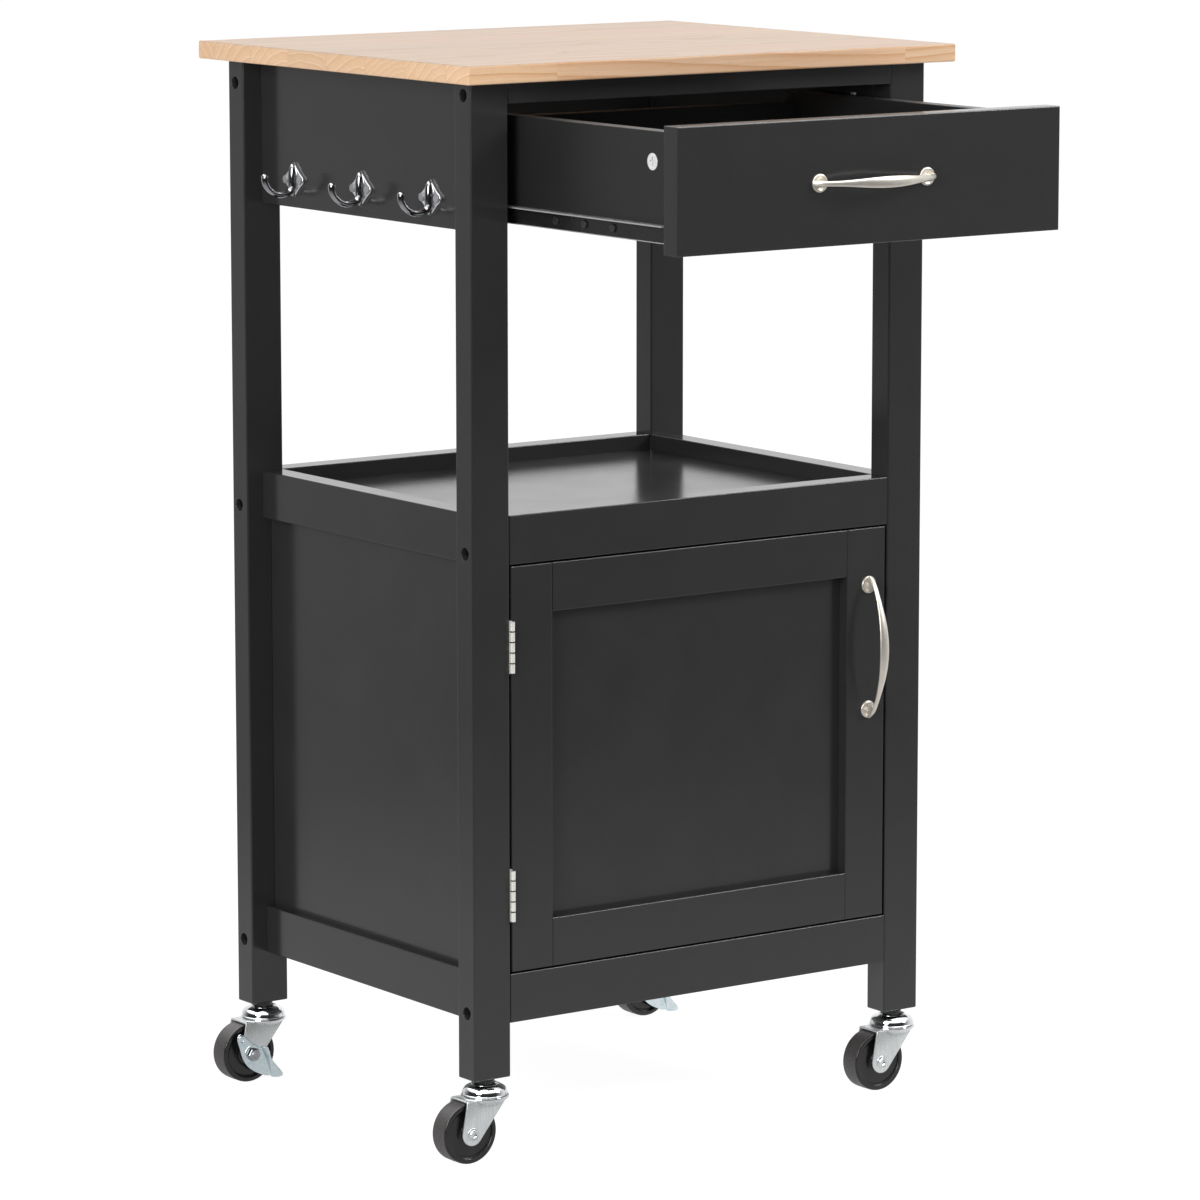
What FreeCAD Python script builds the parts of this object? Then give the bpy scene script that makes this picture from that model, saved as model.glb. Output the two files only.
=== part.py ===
# Serving cart: a painted timber frame with a hardwood top, a drawer, an open shelf,
# a cupboard with a framed door, three hooks and four swivel castors.
# Millimetres. X runs to the right, Y to the back, Z up. The origin is on the floor,
# below the middle of the frame. The drawer stands open and the castors trail to the left.
import FreeCAD, Part
import math
import os
from FreeCAD import Vector

# Frame
frame_width = 430.0
frame_depth = 340.0
leg_width = 33.5
leg_depth = 22.0
leg_length = 760.0
leg_edge_radius = 1.2
rail_thickness = 20.0
rail_edge_radius = 0.6
side_rail_inset = 14.0
apron_inset = 16.0
apron_height = 113.0
top_rail_height = 16.5
shelf_rail_rise = 396.0
shelf_rail_height = 37.5
bottom_rail_rise = 42.0
bottom_rail_height = 38.0

# Worktop
worktop_thickness = 14.0
side_overhang = 15.5
end_overhang = 20.0
worktop_edge_radius = 1.6

# Boards held in grooves of the frame
board_thickness = 9.0
board_tongue = 5.0
shelf_drop = 12.5
floor_drop = 10.0
panel_thickness = 5.0
panel_tongue = 4.5
side_panel_inset = 22.0
back_panel_inset = 8.0
board_tongue_thickness = 6.0
groove_clearance = 0.2

# Frame bolts and their barrel nuts
bolt_radius = 3.0
bolt_length = 50.0
bolt_head_radius = 4.7
bolt_head_height = 5.0
bolt_hole_clearance = 0.3
bolt_socket_radius = 2.3
bolt_socket_depth = 3.0
bolt_recess = 8.0
rail_bolt_rise = 10.0
front_bolt_drop = 9.5
rear_bolt_drop = 18.2
barrel_nut_radius = 5.0
barrel_nut_length = 14.0
barrel_nut_inset = 20.0

# Screws
screw_radius = 1.6
screw_head_radius = 3.2
screw_head_height = 1.4
screw_length = 14.0
small_screw_radius = 1.2
small_screw_head_radius = 2.4
top_screw_radius = 2.0
top_screw_head_radius = 4.0
top_screw_head_height = 2.5
top_screw_bite = 10.0
rail_screw_inset = 61.5
apron_screw_inset = 28.0
pocket_width = 12.0
pocket_depth = 9.0
pocket_height = 16.0
pocket_drop = 26.0

# Door
door_thickness = 18.0
door_member_width = 37.5
door_hinge_gap = 2.0
door_handle_gap = 2.5
door_top_gap = 1.5
door_bottom_gap = 1.5
door_panel_recess = 10.0
door_edge_radius = 0.5

# Butt hinges
hinge_length = 40.5
hinge_rise = 39.5
hinge_drop = 41.3
hinge_barrel_radius = 2.0
hinge_pin_radius = 1.0
hinge_pin_clearance = 0.05
hinge_leaf_thickness = 0.8
hinge_leaf_width = 13.0
hinge_stand_off = 0.3
hinge_knuckles = 5
hinge_knuckle_gap = 0.3
hinge_screw_spacing = 24.0

# Door catch
catch_width = 36.0
catch_depth = 12.0
catch_height = 26.0
catch_overlap = 12.0
catch_inset = 26.0
catch_screw_spacing = 22.0
catch_edge_radius = 1.5
catch_plate_thickness = 1.0
catch_plate_width = 28.0
catch_plate_height = 11.0

# Bow handles
handle_centres = 100.0
handle_reach = 23.4
handle_middle_width = 6.9
handle_middle_thickness = 3.4
handle_end_width = 3.0
handle_end_thickness = 2.4
handle_web_thickness = 2.4
rosette_radius = 6.9
rosette_thickness = 2.0
rosette_edge_radius = 0.8
handle_screw_radius = 2.0
handle_screw_head_radius = 4.0
handle_screw_head_height = 2.4
door_handle_edge = 16.5
door_handle_drop = 95.0
drawer_handle_drop = 46.5

# Drawer
drawer_hold = 103.0
drawer_side_gap = 3.3
drawer_top_gap = 4.5
drawer_front_height = 93.5
drawer_front_thickness = 17.0
drawer_front_edge_radius = 0.8
drawer_side_drop = 5.5
drawer_side_height = 80.0
drawer_side_thickness = 12.0
drawer_rear_gap = 8.0
drawer_back_drop = 8.0
drawer_bottom_thickness = 3.0
drawer_bottom_rise = 8.0
drawer_groove = 5.0
drawer_board_edge_radius = 0.6
cam_radius = 6.3
cam_depth = 9.0
cam_setback = 27.0
cam_drop = 22.5
cam_bolt_radius = 2.8
cam_bolt_bite = 9.0
cam_cross_length = 7.0
cam_cross_width = 1.4
cam_cross_depth = 1.5
back_screw_length = 30.0
back_screw_spacing = 40.0

# Drawer runners
runner_space = 13.0
runner_sheet = 1.2
runner_rear_gap = 5.0
drawer_runner_setback = 6.0
drawer_runner_height = 13.7
drawer_runner_lip = 6.0
drawer_runner_foot = 11.0
runner_lip_height = 2.0
runner_floor_width = 8.5
runner_roof_width = 5.5
runner_roof_gap = 1.2
runner_screw_inset = 27.5
drawer_runner_screw_pitch = 36.0
drawer_runner_screw_inset = 110.0
roller_radius = 6.1
roller_width = 4.8
roller_gap = 0.2
roller_setback = 12.0
roller_pin_radius = 2.0
roller_pin_clearance = 0.05
roller_pin_head_radius = 3.2
roller_pin_head_height = 0.4
roller_side_gap = 0.2
roller_wall_gap = 0.6

# Hooks
hook_plate_height = 27.6
hook_plate_width = 29.0
hook_plate_thickness = 2.2
hook_plate_ear_radius = 3.8
hook_screw_spacing = 20.0
hook_ridge_width = 7.5
hook_ridge_height = 4.0
hook_arm_width = 6.0
hook_arm_thickness = 4.6
hook_reach = 31.0
hook_pitch = 96.0
hook_shift = 2.0
hook_plate_rise = 8.0
hook_tip_radius = 2.7

# Castors
caster_height = 64.0
wheel_radius = 24.0
wheel_width = 17.5
wheel_edge_radius = 2.2
wheel_rim_width = 4.5
wheel_dish = 1.8
wheel_hub_radius = 8.0
wheel_hub_stand = 0.6
caster_trail = 19.0
stem_radius = 4.0
stem_length = 25.0
neck_radius = 7.6
neck_height = 4.5
dome_radius = 18.0
dome_height = 7.4
dome_rim = 1.0
race_gap = 0.3
fork_sheet = 1.5
fork_inner_width = 21.0
fork_disc_radius = 18.6
fork_step = 0.8
fork_bulge_height = 4.5
fork_boss_radius = 9.0
fork_nose = 13.5
fork_heel = 4.5
king_pin_radius = 5.0
king_pin_clearance = 0.08
king_pin_head_radius = 7.0
king_pin_head_height = 2.0
axle_radius = 3.0
axle_clearance = 0.06
rivet_radius = 4.8
rivet_height = 1.8
rivet_hollow_radius = 2.2
rivet_hollow_depth = 1.5
lever_sheet = 1.5
lever_gap = 0.3
lever_reach = 24.0
lever_tab_out = 9.5
lever_edge_out = 7.0
lever_hole_radius = 1.6
axle_nut_radius = 5.4
axle_nut_height = 3.8

# How far a cutting tool runs past the face that it opens
overrun = 5.0

# Places worked out from the sizes above
half_width = frame_width / 2
half_depth = frame_depth / 2
inner_x = half_width - leg_width
inner_y = half_depth - leg_depth
foot_z = caster_height
head_z = foot_z + leg_length
side_rail_x = half_width - side_rail_inset
apron_x = half_width - apron_inset
rail_y = half_depth - rail_thickness
rail_mid_y = half_depth - rail_thickness / 2
apron_z = head_z - apron_height
top_rail_z = head_z - top_rail_height
shelf_rail_z = foot_z + shelf_rail_rise
shelf_rail_top = shelf_rail_z + shelf_rail_height
bottom_rail_z = foot_z + bottom_rail_rise
bottom_rail_top = bottom_rail_z + bottom_rail_height
shelf_z = shelf_rail_top - shelf_drop
floor_z = bottom_rail_top - floor_drop
caster_x = half_width - leg_width / 2
caster_y = half_depth - leg_depth / 2

door_left = door_hinge_gap - inner_x
door_right = inner_x - door_handle_gap
door_low = bottom_rail_top + door_bottom_gap
door_high = shelf_rail_z - door_top_gap
door_back = door_thickness - half_depth
hinge_x = door_hinge_gap / 2 - inner_x
hinge_y = -half_depth - hinge_stand_off - hinge_barrel_radius
hinge_heights = (door_low + hinge_rise + hinge_length / 2, door_high - hinge_drop - hinge_length / 2)
door_handle_x = door_right - door_handle_edge
door_handle_z = door_high - door_handle_drop

drawer_half = inner_x - drawer_side_gap
drawer_top = top_rail_z - drawer_top_gap
drawer_low = drawer_top - drawer_front_height
drawer_open = half_depth + rail_y - drawer_rear_gap - drawer_hold
drawer_face = -half_depth - drawer_open
drawer_front_back = drawer_face + drawer_front_thickness
drawer_side_x = inner_x - runner_space
drawer_inner_x = drawer_side_x - drawer_side_thickness
drawer_side_top = drawer_top - drawer_side_drop
drawer_side_low = drawer_side_top - drawer_side_height
drawer_rear = rail_y - drawer_rear_gap - drawer_open
drawer_floor_low = drawer_side_low + drawer_bottom_rise
drawer_floor_top = drawer_floor_low + drawer_bottom_thickness

drawer_runner_low = drawer_side_low - runner_sheet
drawer_runner_top = drawer_runner_low + drawer_runner_height
drawer_runner_x = drawer_side_x + runner_sheet
roller_z = drawer_runner_top - runner_sheet - roller_gap - roller_radius
runner_floor_top = roller_z - roller_radius - roller_gap
runner_roof_low = drawer_runner_top + runner_roof_gap
runner_web_x = inner_x - runner_sheet
runner_front = -half_depth + rail_thickness
runner_rear = rail_y - runner_rear_gap
cabinet_roller_y = runner_front + roller_setback
drawer_roller_y = drawer_rear - roller_setback
cabinet_roller_in = drawer_runner_x + screw_head_height + roller_wall_gap + roller_pin_head_height
drawer_roller_out = runner_web_x - roller_wall_gap - roller_pin_head_height

fork_top = foot_z - neck_height - dome_height - dome_rim - race_gap
fork_outer = fork_inner_width / 2 + fork_sheet
axle_nut_low = fork_outer + lever_gap + lever_sheet + lever_gap
axle_reach = axle_nut_low + axle_nut_height

OUT_X = Vector(1, 0, 0)
OUT_Y = Vector(0, 1, 0)
UP = Vector(0, 0, 1)


def block(x, y, z):
    """A box between two corners. Each axis is a pair of places, in either order."""
    low = Vector(min(x), min(y), min(z))
    return Part.makeBox(max(x) - min(x), max(y) - min(y), max(z) - min(z), low)


def eased(shape, radius):
    """The shape with every edge rounded."""
    return shape.makeFillet(radius, shape.Edges)


def rod(radius, start, end):
    """A round bar between two points."""
    run = end - start
    return Part.makeCylinder(radius, run.Length, start, run)


def cone(low_radius, high_radius, start, end):
    """A taper between two points."""
    run = end - start
    return Part.makeCone(low_radius, high_radius, run.Length, start, run)


def hexagon(radius, start, end):
    """A six-sided bar, with its corners on the radius."""
    run = end - start
    side = run.cross(UP) if abs(run.dot(UP)) < run.Length / 2 else run.cross(OUT_X)
    side.normalize()
    turn = FreeCAD.Rotation(run, 60)
    corners = [side * radius]
    for _ in range(5):
        corners.append(turn.multVec(corners[-1]))
    return prism([start + corner for corner in corners], run)


def prism(points, run):
    """A flat outline carried along a straight run."""
    return Part.Face(Part.makePolygon(points + points[:1])).extrude(run)


def turned(points, centre, axis):
    """A turned solid. Points are pairs: distance from the axis, distance along it."""
    side = OUT_X if abs(axis.dot(OUT_X)) < 0.5 else OUT_Y
    outline = [centre + side * radius + axis * along for radius, along in points]
    return Part.Face(Part.makePolygon(outline + outline[:1])).revolve(centre, axis, 360)


def oval(centre, wide, thick, half_width_here, half_thickness_here):
    """An oval wire about a centre, measured along two square directions."""
    long_way = centre + wide * half_width_here
    short_way = centre + thick * half_thickness_here
    if half_thickness_here > half_width_here:
        long_way = centre + thick * half_thickness_here
        short_way = centre - wide * half_width_here
    return Part.Wire(Part.Ellipse(long_way, short_way, centre).toShape())


def swelling_bar(centres, wide, half_widths, half_thicknesses):
    """A bar with an oval section that follows the centres and changes size on the way."""
    wires = []
    last = len(centres) - 1
    for place, centre in enumerate(centres):
        ahead = centres[min(place + 1, last)]
        behind = centres[max(place - 1, 0)]
        along = (ahead - behind).normalize()
        thick = along.cross(wide).normalize()
        wires.append(oval(centre, wide, thick, half_widths[place], half_thicknesses[place]))
    return Part.makeLoft(wires, True, False)


def mirrored(shape, side):
    """The shape on the right, side 1, or its mirror image on the left, side -1."""
    return shape if side > 0 else shape.mirror(Vector(), OUT_X)


def joined(shapes):
    """Solids fused into one piece."""
    return shapes[0].fuse(shapes[1:]).removeSplitter()


def cut_by(shape, tools):
    """The shape with each tool's space taken out."""
    return shape.cut(tools) if tools else shape


def flat_screw(face, direction, shank_radius, head_radius, length):
    """A countersunk screw, its head flush at the face and its point along the direction."""
    sink = face + direction * (head_radius - shank_radius)
    shank = rod(shank_radius, sink, face + direction * length)
    return joined([cone(head_radius, shank_radius, face, sink), shank])


def pan_screw(face, direction, shank_radius, head_radius, head_height, length):
    """A screw whose head stands on the face."""
    head = rod(head_radius, face - direction * head_height, face)
    return joined([head, rod(shank_radius, face, face + direction * length)])


# Spaces that the panels and boards take, used for the pieces and for their grooves


def side_panel_space(side, grown):
    outer = half_width - side_panel_inset
    reach_y = inner_y + panel_tongue - groove_clearance + grown
    return block((side * (outer + grown), side * (outer - panel_thickness - grown)), (-reach_y, reach_y),
                 (bottom_rail_top - panel_tongue + groove_clearance - grown,
                  shelf_rail_z + panel_tongue - groove_clearance + grown))


def back_panel_space(grown):
    outer = half_depth - back_panel_inset
    reach_x = inner_x + panel_tongue - groove_clearance + grown
    return block((-reach_x, reach_x), (outer + grown, outer - panel_thickness - grown),
                 (bottom_rail_top - panel_tongue + groove_clearance - grown,
                  shelf_rail_z + panel_tongue - groove_clearance + grown))


def tongue_space(top, grown):
    """The space of a board's tongue, below the top of the board."""
    reach_x = inner_x + board_tongue - groove_clearance + grown
    reach_y = rail_y + board_tongue - groove_clearance + grown
    low = top - board_thickness
    return block((-reach_x, reach_x), (-reach_y, reach_y), (low - grown, low + board_tongue_thickness + grown))


# Frame bolts: where they are, the bolts with their nuts, and the holes that they need


def bolt_places():
    """Height and row (front -1, rear 1) of the bolts in a leg."""
    rails = (shelf_rail_z + rail_bolt_rise, bottom_rail_z + rail_bolt_rise)
    front = [(head_z - front_bolt_drop, -1)] + [(height, -1) for height in rails]
    rear = [(head_z - rear_bolt_drop, 1)] + [(height, 1) for height in rails]
    return front + rear


def frame_bolt(side, row, height):
    seat = half_width - bolt_recess
    place = Vector(0, row * rail_mid_y, height)
    shank = rod(bolt_radius, place + OUT_X * (seat - bolt_length), place + OUT_X * seat)
    head = rod(bolt_head_radius, place + OUT_X * seat, place + OUT_X * (seat + bolt_head_height))
    socket = hexagon(bolt_socket_radius, place + OUT_X * (seat + bolt_head_height - bolt_socket_depth),
                     place + OUT_X * (seat + bolt_head_height + overrun))
    return mirrored(joined([shank, head]).cut(socket), side)


def barrel_nut(side, row, height):
    middle = Vector(side * (inner_x - barrel_nut_inset), row * rail_mid_y, height)
    half = OUT_Y * (barrel_nut_length / 2)
    return rod(barrel_nut_radius, middle - half, middle + half).cut(bolt_shank_space(side, row, height, 0))


def bolt_shank_space(side, row, height, grown):
    place = Vector(0, row * rail_mid_y, height)
    return rod(bolt_radius + grown, place + OUT_X * (side * (half_width - bolt_recess - bolt_length - grown)),
               place + OUT_X * (side * (half_width + overrun)))


def leg_bolt_hole(side, row, height):
    place = Vector(0, row * rail_mid_y, height)
    recess = rod(bolt_head_radius + bolt_hole_clearance, place + OUT_X * (side * (half_width - bolt_recess)),
                 place + OUT_X * (side * (half_width + overrun)))
    return recess.fuse(bolt_shank_space(side, row, height, bolt_hole_clearance))


def rail_bolt_hole(side, row, height):
    nut_x = side * (inner_x - barrel_nut_inset)
    end_y = row * (rail_mid_y + barrel_nut_length / 2 + groove_clearance)
    nut_hole = rod(barrel_nut_radius + groove_clearance, Vector(nut_x, row * (rail_y - overrun), height),
                   Vector(nut_x, end_y, height))
    return nut_hole.fuse(bolt_shank_space(side, row, height, bolt_hole_clearance))


def make_frame_bolts():
    pieces = []
    for side in (-1, 1):
        for height, row in bolt_places():
            pieces.append(frame_bolt(side, row, height))
            pieces.append(barrel_nut(side, row, height))
    return Part.makeCompound(pieces)


# Screws of the fixed frame


def hinge_screw_heights():
    half = hinge_screw_spacing / 2
    return [height + step for height in hinge_heights for step in (-half, half)]


def hinge_screw(body_side, height):
    """A screw of the frame leaf, body_side -1, or of the door leaf, body_side 1."""
    face = hinge_x + body_side * (door_hinge_gap / 2 - hinge_leaf_thickness)
    place = Vector(face, -half_depth + hinge_leaf_width / 2, height)
    return flat_screw(place, OUT_X * body_side, small_screw_radius, small_screw_head_radius, screw_length)


def runner_screw(side, step):
    middle = (runner_front + runner_rear) / 2
    reach = (runner_rear - runner_front) / 2 - runner_screw_inset
    place = Vector(side * runner_web_x, middle + step * reach, roller_z)
    return flat_screw(place, OUT_X * side, screw_radius, screw_head_radius, screw_length)


def catch_screw(step):
    place = Vector(catch_middle_x() + step * catch_screw_spacing / 2, catch_depth - rail_y,
                   (shelf_rail_z + catch_top()) / 2)
    return pan_screw(place, -OUT_Y, screw_radius, screw_head_radius, screw_head_height, catch_depth + screw_length)


def hook_screw(place, step):
    face = Vector(-apron_x - hook_plate_thickness, hook_y(place) + step * hook_screw_spacing / 2, hook_z())
    return pan_screw(face, OUT_X, screw_radius, screw_head_radius, screw_head_height, screw_length)


def rail_top_screw(side):
    face = Vector(side * (inner_x - rail_screw_inset), -rail_mid_y, top_rail_z)
    return flat_screw(face, UP, top_screw_radius, top_screw_head_radius, top_rail_height + top_screw_bite)


def apron_top_screw(side, row):
    """A pan-headed screw that goes up from a pocket in a side apron."""
    place = Vector(side * (inner_x + pocket_depth / 2), row * (inner_y - apron_screw_inset), head_z - pocket_drop)
    return pan_screw(place, UP, top_screw_radius, top_screw_head_radius, top_screw_head_height,
                     pocket_drop + top_screw_bite)


def apron_pocket(side, row):
    middle = row * (inner_y - apron_screw_inset)
    return block((side * (inner_x - overrun), side * (inner_x + pocket_depth)),
                 (middle - pocket_width / 2, middle + pocket_width / 2),
                 (head_z - pocket_drop - pocket_height, head_z - pocket_drop))


def make_carcass_screws():
    pieces = [hinge_screw(-1, height) for height in hinge_screw_heights()]
    pieces += [runner_screw(side, step) for side in (-1, 1) for step in (-1, 0, 1)]
    pieces += [catch_screw(step) for step in (-1, 1)]
    pieces += [hook_screw(place, step) for place in (-1, 0, 1) for step in (-1, 1)]
    pieces += [rail_top_screw(side) for side in (-1, 1)]
    pieces += [apron_top_screw(side, row) for side in (-1, 1) for row in (-1, 1)]
    return Part.makeCompound(pieces)


# Frame members


def make_leg(side, row):
    leg = eased(block((side * inner_x, side * half_width), (row * inner_y, row * half_depth), (foot_z, head_z)),
                leg_edge_radius)
    stem = Vector(side * caster_x, row * caster_y, foot_z)
    tools = [side_panel_space(side, groove_clearance), back_panel_space(groove_clearance)]
    tools += [leg_bolt_hole(side, row, height) for height, bolt_row in bolt_places() if bolt_row == row]
    tools.append(rod(stem_radius, stem - UP * overrun, stem + UP * stem_length))
    if side < 0 and row < 0:
        tools += [hinge_screw(-1, height) for height in hinge_screw_heights()]
    return cut_by(leg, tools)


def make_side_apron(side):
    apron = block((side * inner_x, side * apron_x), (-inner_y, inner_y), (apron_z, head_z))
    apron = eased(apron, rail_edge_radius)
    tools = [runner_screw(side, step) for step in (-1, 0, 1)]
    for row in (-1, 1):
        tools += [apron_pocket(side, row), apron_top_screw(side, row)]
    if side < 0:
        tools += [hook_screw(place, step) for place in (-1, 0, 1) for step in (-1, 1)]
    return cut_by(apron, tools)


def cross_rail(row, low, high):
    """A rail between the front legs, row -1, or between the rear legs, row 1."""
    rail = eased(block((-inner_x, inner_x), (row * rail_y, row * half_depth), (low, high)), rail_edge_radius)
    holes = [rail_bolt_hole(side, row, height) for side in (-1, 1)
             for height, bolt_row in bolt_places() if bolt_row == row and low < height < high]
    return cut_by(rail, holes)


def side_rail(side, low, high):
    rail = eased(block((side * inner_x, side * side_rail_x), (-inner_y, inner_y), (low, high)), rail_edge_radius)
    return rail.cut(side_panel_space(side, groove_clearance))


def make_top_rail():
    return cross_rail(-1, top_rail_z, head_z).cut([rail_top_screw(side) for side in (-1, 1)])


def make_shelf_rail(kind, end):
    rail = kind(end, shelf_rail_z, shelf_rail_top)
    tools = [tongue_space(shelf_z, groove_clearance)]
    if kind is cross_rail and end > 0:
        tools.append(back_panel_space(groove_clearance))
    if kind is cross_rail and end < 0:
        tools += [catch_screw(step) for step in (-1, 1)]
    return cut_by(rail, tools)


def make_bottom_rail(kind, end):
    rail = kind(end, bottom_rail_z, bottom_rail_top)
    tools = [tongue_space(floor_z, groove_clearance)]
    if kind is cross_rail and end > 0:
        tools.append(back_panel_space(groove_clearance))
    return cut_by(rail, tools)


def make_board(top):
    """A board with a tongue on four sides, its corners notched round the legs."""
    notch_x = inner_x - groove_clearance
    notch_y = inner_y - groove_clearance
    clear_y = rail_y - groove_clearance
    low = top - board_thickness
    board = tongue_space(top, 0).fuse(block((-notch_x, notch_x), (-clear_y, clear_y), (low, top)))
    notches = [block((side * notch_x, side * half_width), (row * notch_y, row * half_depth),
                     (low - overrun, top + overrun)) for side in (-1, 1) for row in (-1, 1)]
    return board.removeSplitter().cut(notches)


def make_worktop():
    top = block((-half_width - side_overhang, half_width + side_overhang),
                (-half_depth - end_overhang, half_depth + end_overhang), (head_z, head_z + worktop_thickness))
    tools = [rail_top_screw(side) for side in (-1, 1)]
    tools += [apron_top_screw(side, row) for side in (-1, 1) for row in (-1, 1)]
    return eased(top, worktop_edge_radius).cut(tools)


# Hooks on the left apron


def hook_y(place):
    return hook_shift + place * hook_pitch


def hook_z():
    return apron_z + hook_plate_rise + hook_plate_height / 2


def make_hook(place):
    """A rhombus plate with an upright rounded body and an arm that curls out, down and up again."""
    foot = Vector(-apron_x, hook_y(place), hook_z())
    outward = -OUT_X
    half_height = UP * (hook_plate_height / 2)
    half_wide = OUT_Y * (hook_plate_width / 2)
    plate = prism([foot + half_height, foot + half_wide, foot - half_height, foot - half_wide],
                  outward * hook_plate_thickness)
    ears = []
    for step in (-1, 1):
        ear = foot + OUT_Y * (step * hook_screw_spacing / 2)
        ears.append(rod(hook_plate_ear_radius, ear, ear + outward * hook_plate_thickness))
    body = joined([plate, hook_ridge(foot, outward)] + ears + [hook_arm(foot, outward)])
    behind = block((foot.x, foot.x + hook_reach), (foot.y - hook_plate_width, foot.y + hook_plate_width),
                   (foot.z - hook_plate_height, foot.z + hook_plate_height))
    return body.cut([behind] + [hook_screw(place, step) for step in (-1, 1)])


def hook_ridge(foot, outward):
    """The upright body: an oval bar on the plate's face that runs out to a point at both ends."""
    ridge_shares = ((-0.97, 0.12), (-0.8, 0.68), (-0.5, 0.93), (0, 1), (0.5, 0.93), (0.8, 0.68), (0.97, 0.12))
    centres = [foot + outward * hook_plate_thickness + UP * (hook_plate_height / 2 * up) for up, _ in ridge_shares]
    half_widths = [hook_ridge_width / 2 * swell for _, swell in ridge_shares]
    half_thicknesses = [hook_ridge_height * swell for _, swell in ridge_shares]
    return swelling_bar(centres, OUT_Y, half_widths, half_thicknesses)


def hook_arm(foot, outward):
    """The arm leaves the body low down, dips, and turns up to its rounded tip."""
    arm_shares = ((0.1, 0.26, 1.3), (0.17, 0.175, 1.15), (0.33, 0.112, 1), (0.487, 0.09, 0.95),
                  (0.684, 0.18, 0.92), (0.842, 0.337, 0.92), (0.91, 0.518, 0.95), (0.9, 0.63, 1))
    low = foot - UP * (hook_plate_height / 2)
    centres = [low + outward * (hook_reach * out) + UP * (hook_plate_height * up) for out, up, _ in arm_shares]
    half_widths = [hook_arm_width / 2 * swell for _, _, swell in arm_shares]
    half_thicknesses = [hook_arm_thickness / 2 * swell for _, _, swell in arm_shares]
    arm = swelling_bar(centres, OUT_Y, half_widths, half_thicknesses)
    return arm.fuse(Part.makeSphere(hook_tip_radius, centres[-1]))


def make_hooks():
    return Part.makeCompound([make_hook(place) for place in (-1, 0, 1)])


# Door


def door_frame_space(x, z):
    return eased(block(x, (-half_depth, door_back), z), door_edge_radius)


def door_panel_space(grown):
    front = door_panel_recess - half_depth
    reach = door_member_width - panel_tongue + groove_clearance - grown
    return block((door_left + reach, door_right - reach), (front - grown, front + panel_thickness + grown),
                 (door_low + reach, door_high - reach))


def make_door_stile(side):
    outer = door_right if side > 0 else door_left
    stile = door_frame_space((outer, outer - side * door_member_width), (door_low, door_high))
    tools = [door_panel_space(groove_clearance)]
    if side > 0:
        tools += [door_handle_screw(step) for step in (-1, 1)]
    else:
        tools += [hinge_screw(1, height) for height in hinge_screw_heights()]
    return cut_by(stile, tools)


def make_door_rail(side):
    outer = door_high if side > 0 else door_low
    rail = door_frame_space((door_left + door_member_width, door_right - door_member_width),
                            (outer, outer - side * door_member_width))
    tools = [door_panel_space(groove_clearance)]
    if side > 0:
        tools.append(catch_plate_screw())
    return cut_by(rail, tools)


def door_handle_screw(step):
    place = Vector(door_handle_x, door_back, door_handle_z + step * handle_centres / 2)
    return pan_screw(place, -OUT_Y, handle_screw_radius, handle_screw_head_radius, handle_screw_head_height,
                     door_thickness + rosette_thickness)


def bow_handle(middle, along, outward):
    """Two round feet, each with an upright web, and an arched bar that swells towards its middle."""
    wide = along.cross(outward)
    half_span = handle_centres / 2
    rise = handle_reach - handle_middle_thickness / 2
    half_arch_shares = ((1.12, 0.1, 0), (1.07, 0.25, 0), (1, 0.39, 0), (0.84, 0.57, 0.04), (0.7, 0.7, 0.2),
                        (0.5, 0.85, 0.5), (0.28, 0.955, 0.83))
    arch_shares = [(-place, up, swell) for place, up, swell in half_arch_shares]
    arch_shares += [(0, 1, 1)] + list(reversed(half_arch_shares))
    centres = [middle + along * (half_span * place) + outward * (rise * up) for place, up, _ in arch_shares]
    half_widths = [(handle_end_width + (handle_middle_width - handle_end_width) * swell) / 2
                   for _, _, swell in arch_shares]
    half_thicknesses = [(handle_end_thickness + (handle_middle_thickness - handle_end_thickness) * swell) / 2
                        for _, _, swell in arch_shares]
    pieces = [swelling_bar(centres, wide, half_widths, half_thicknesses)]
    for step in (-1, 1):
        foot = middle + along * (step * half_span)
        pieces.append(handle_rosette(foot, outward))
        pieces.append(handle_web(middle, along * step, outward, half_arch_shares, rise))
    return joined(pieces)


def handle_rosette(foot, outward):
    """A round foot with its outer edge rounded."""
    rosette = rod(rosette_radius, foot, foot + outward * rosette_thickness)
    face = foot + outward * rosette_thickness
    rim = [edge for edge in rosette.Edges if abs((edge.CenterOfMass - face).dot(outward)) < rosette_edge_radius]
    return rosette.makeFillet(rosette_edge_radius, rim)


def handle_web(middle, along, outward, half_arch_shares, rise):
    """The upright web that joins the bar to its foot, inside the outline of the foot."""
    half_span = handle_centres / 2
    near = half_span - rosette_radius + rosette_edge_radius
    under_bar = [(half_span * place, rise * up) for place, up, _ in half_arch_shares if half_span * place > near]
    near_height = under_bar[-1][1] + handle_end_thickness / 2
    outline = [(near, rosette_thickness / 2), (under_bar[0][0], rosette_thickness / 2)] + under_bar
    outline.append((near, near_height))
    corner = middle - along.cross(outward) * (handle_web_thickness / 2)
    points = [corner + along * far + outward * up for far, up in outline]
    return prism(points, along.cross(outward) * handle_web_thickness)


def make_door_handle():
    middle = Vector(door_handle_x, -half_depth, door_handle_z)
    return bow_handle(middle, UP, -OUT_Y).cut([door_handle_screw(step) for step in (-1, 1)])


def make_door_screws():
    pieces = [hinge_screw(1, height) for height in hinge_screw_heights()]
    pieces += [door_handle_screw(step) for step in (-1, 1)]
    pieces.append(catch_plate_screw())
    return Part.makeCompound(pieces)


# Hinges


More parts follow.
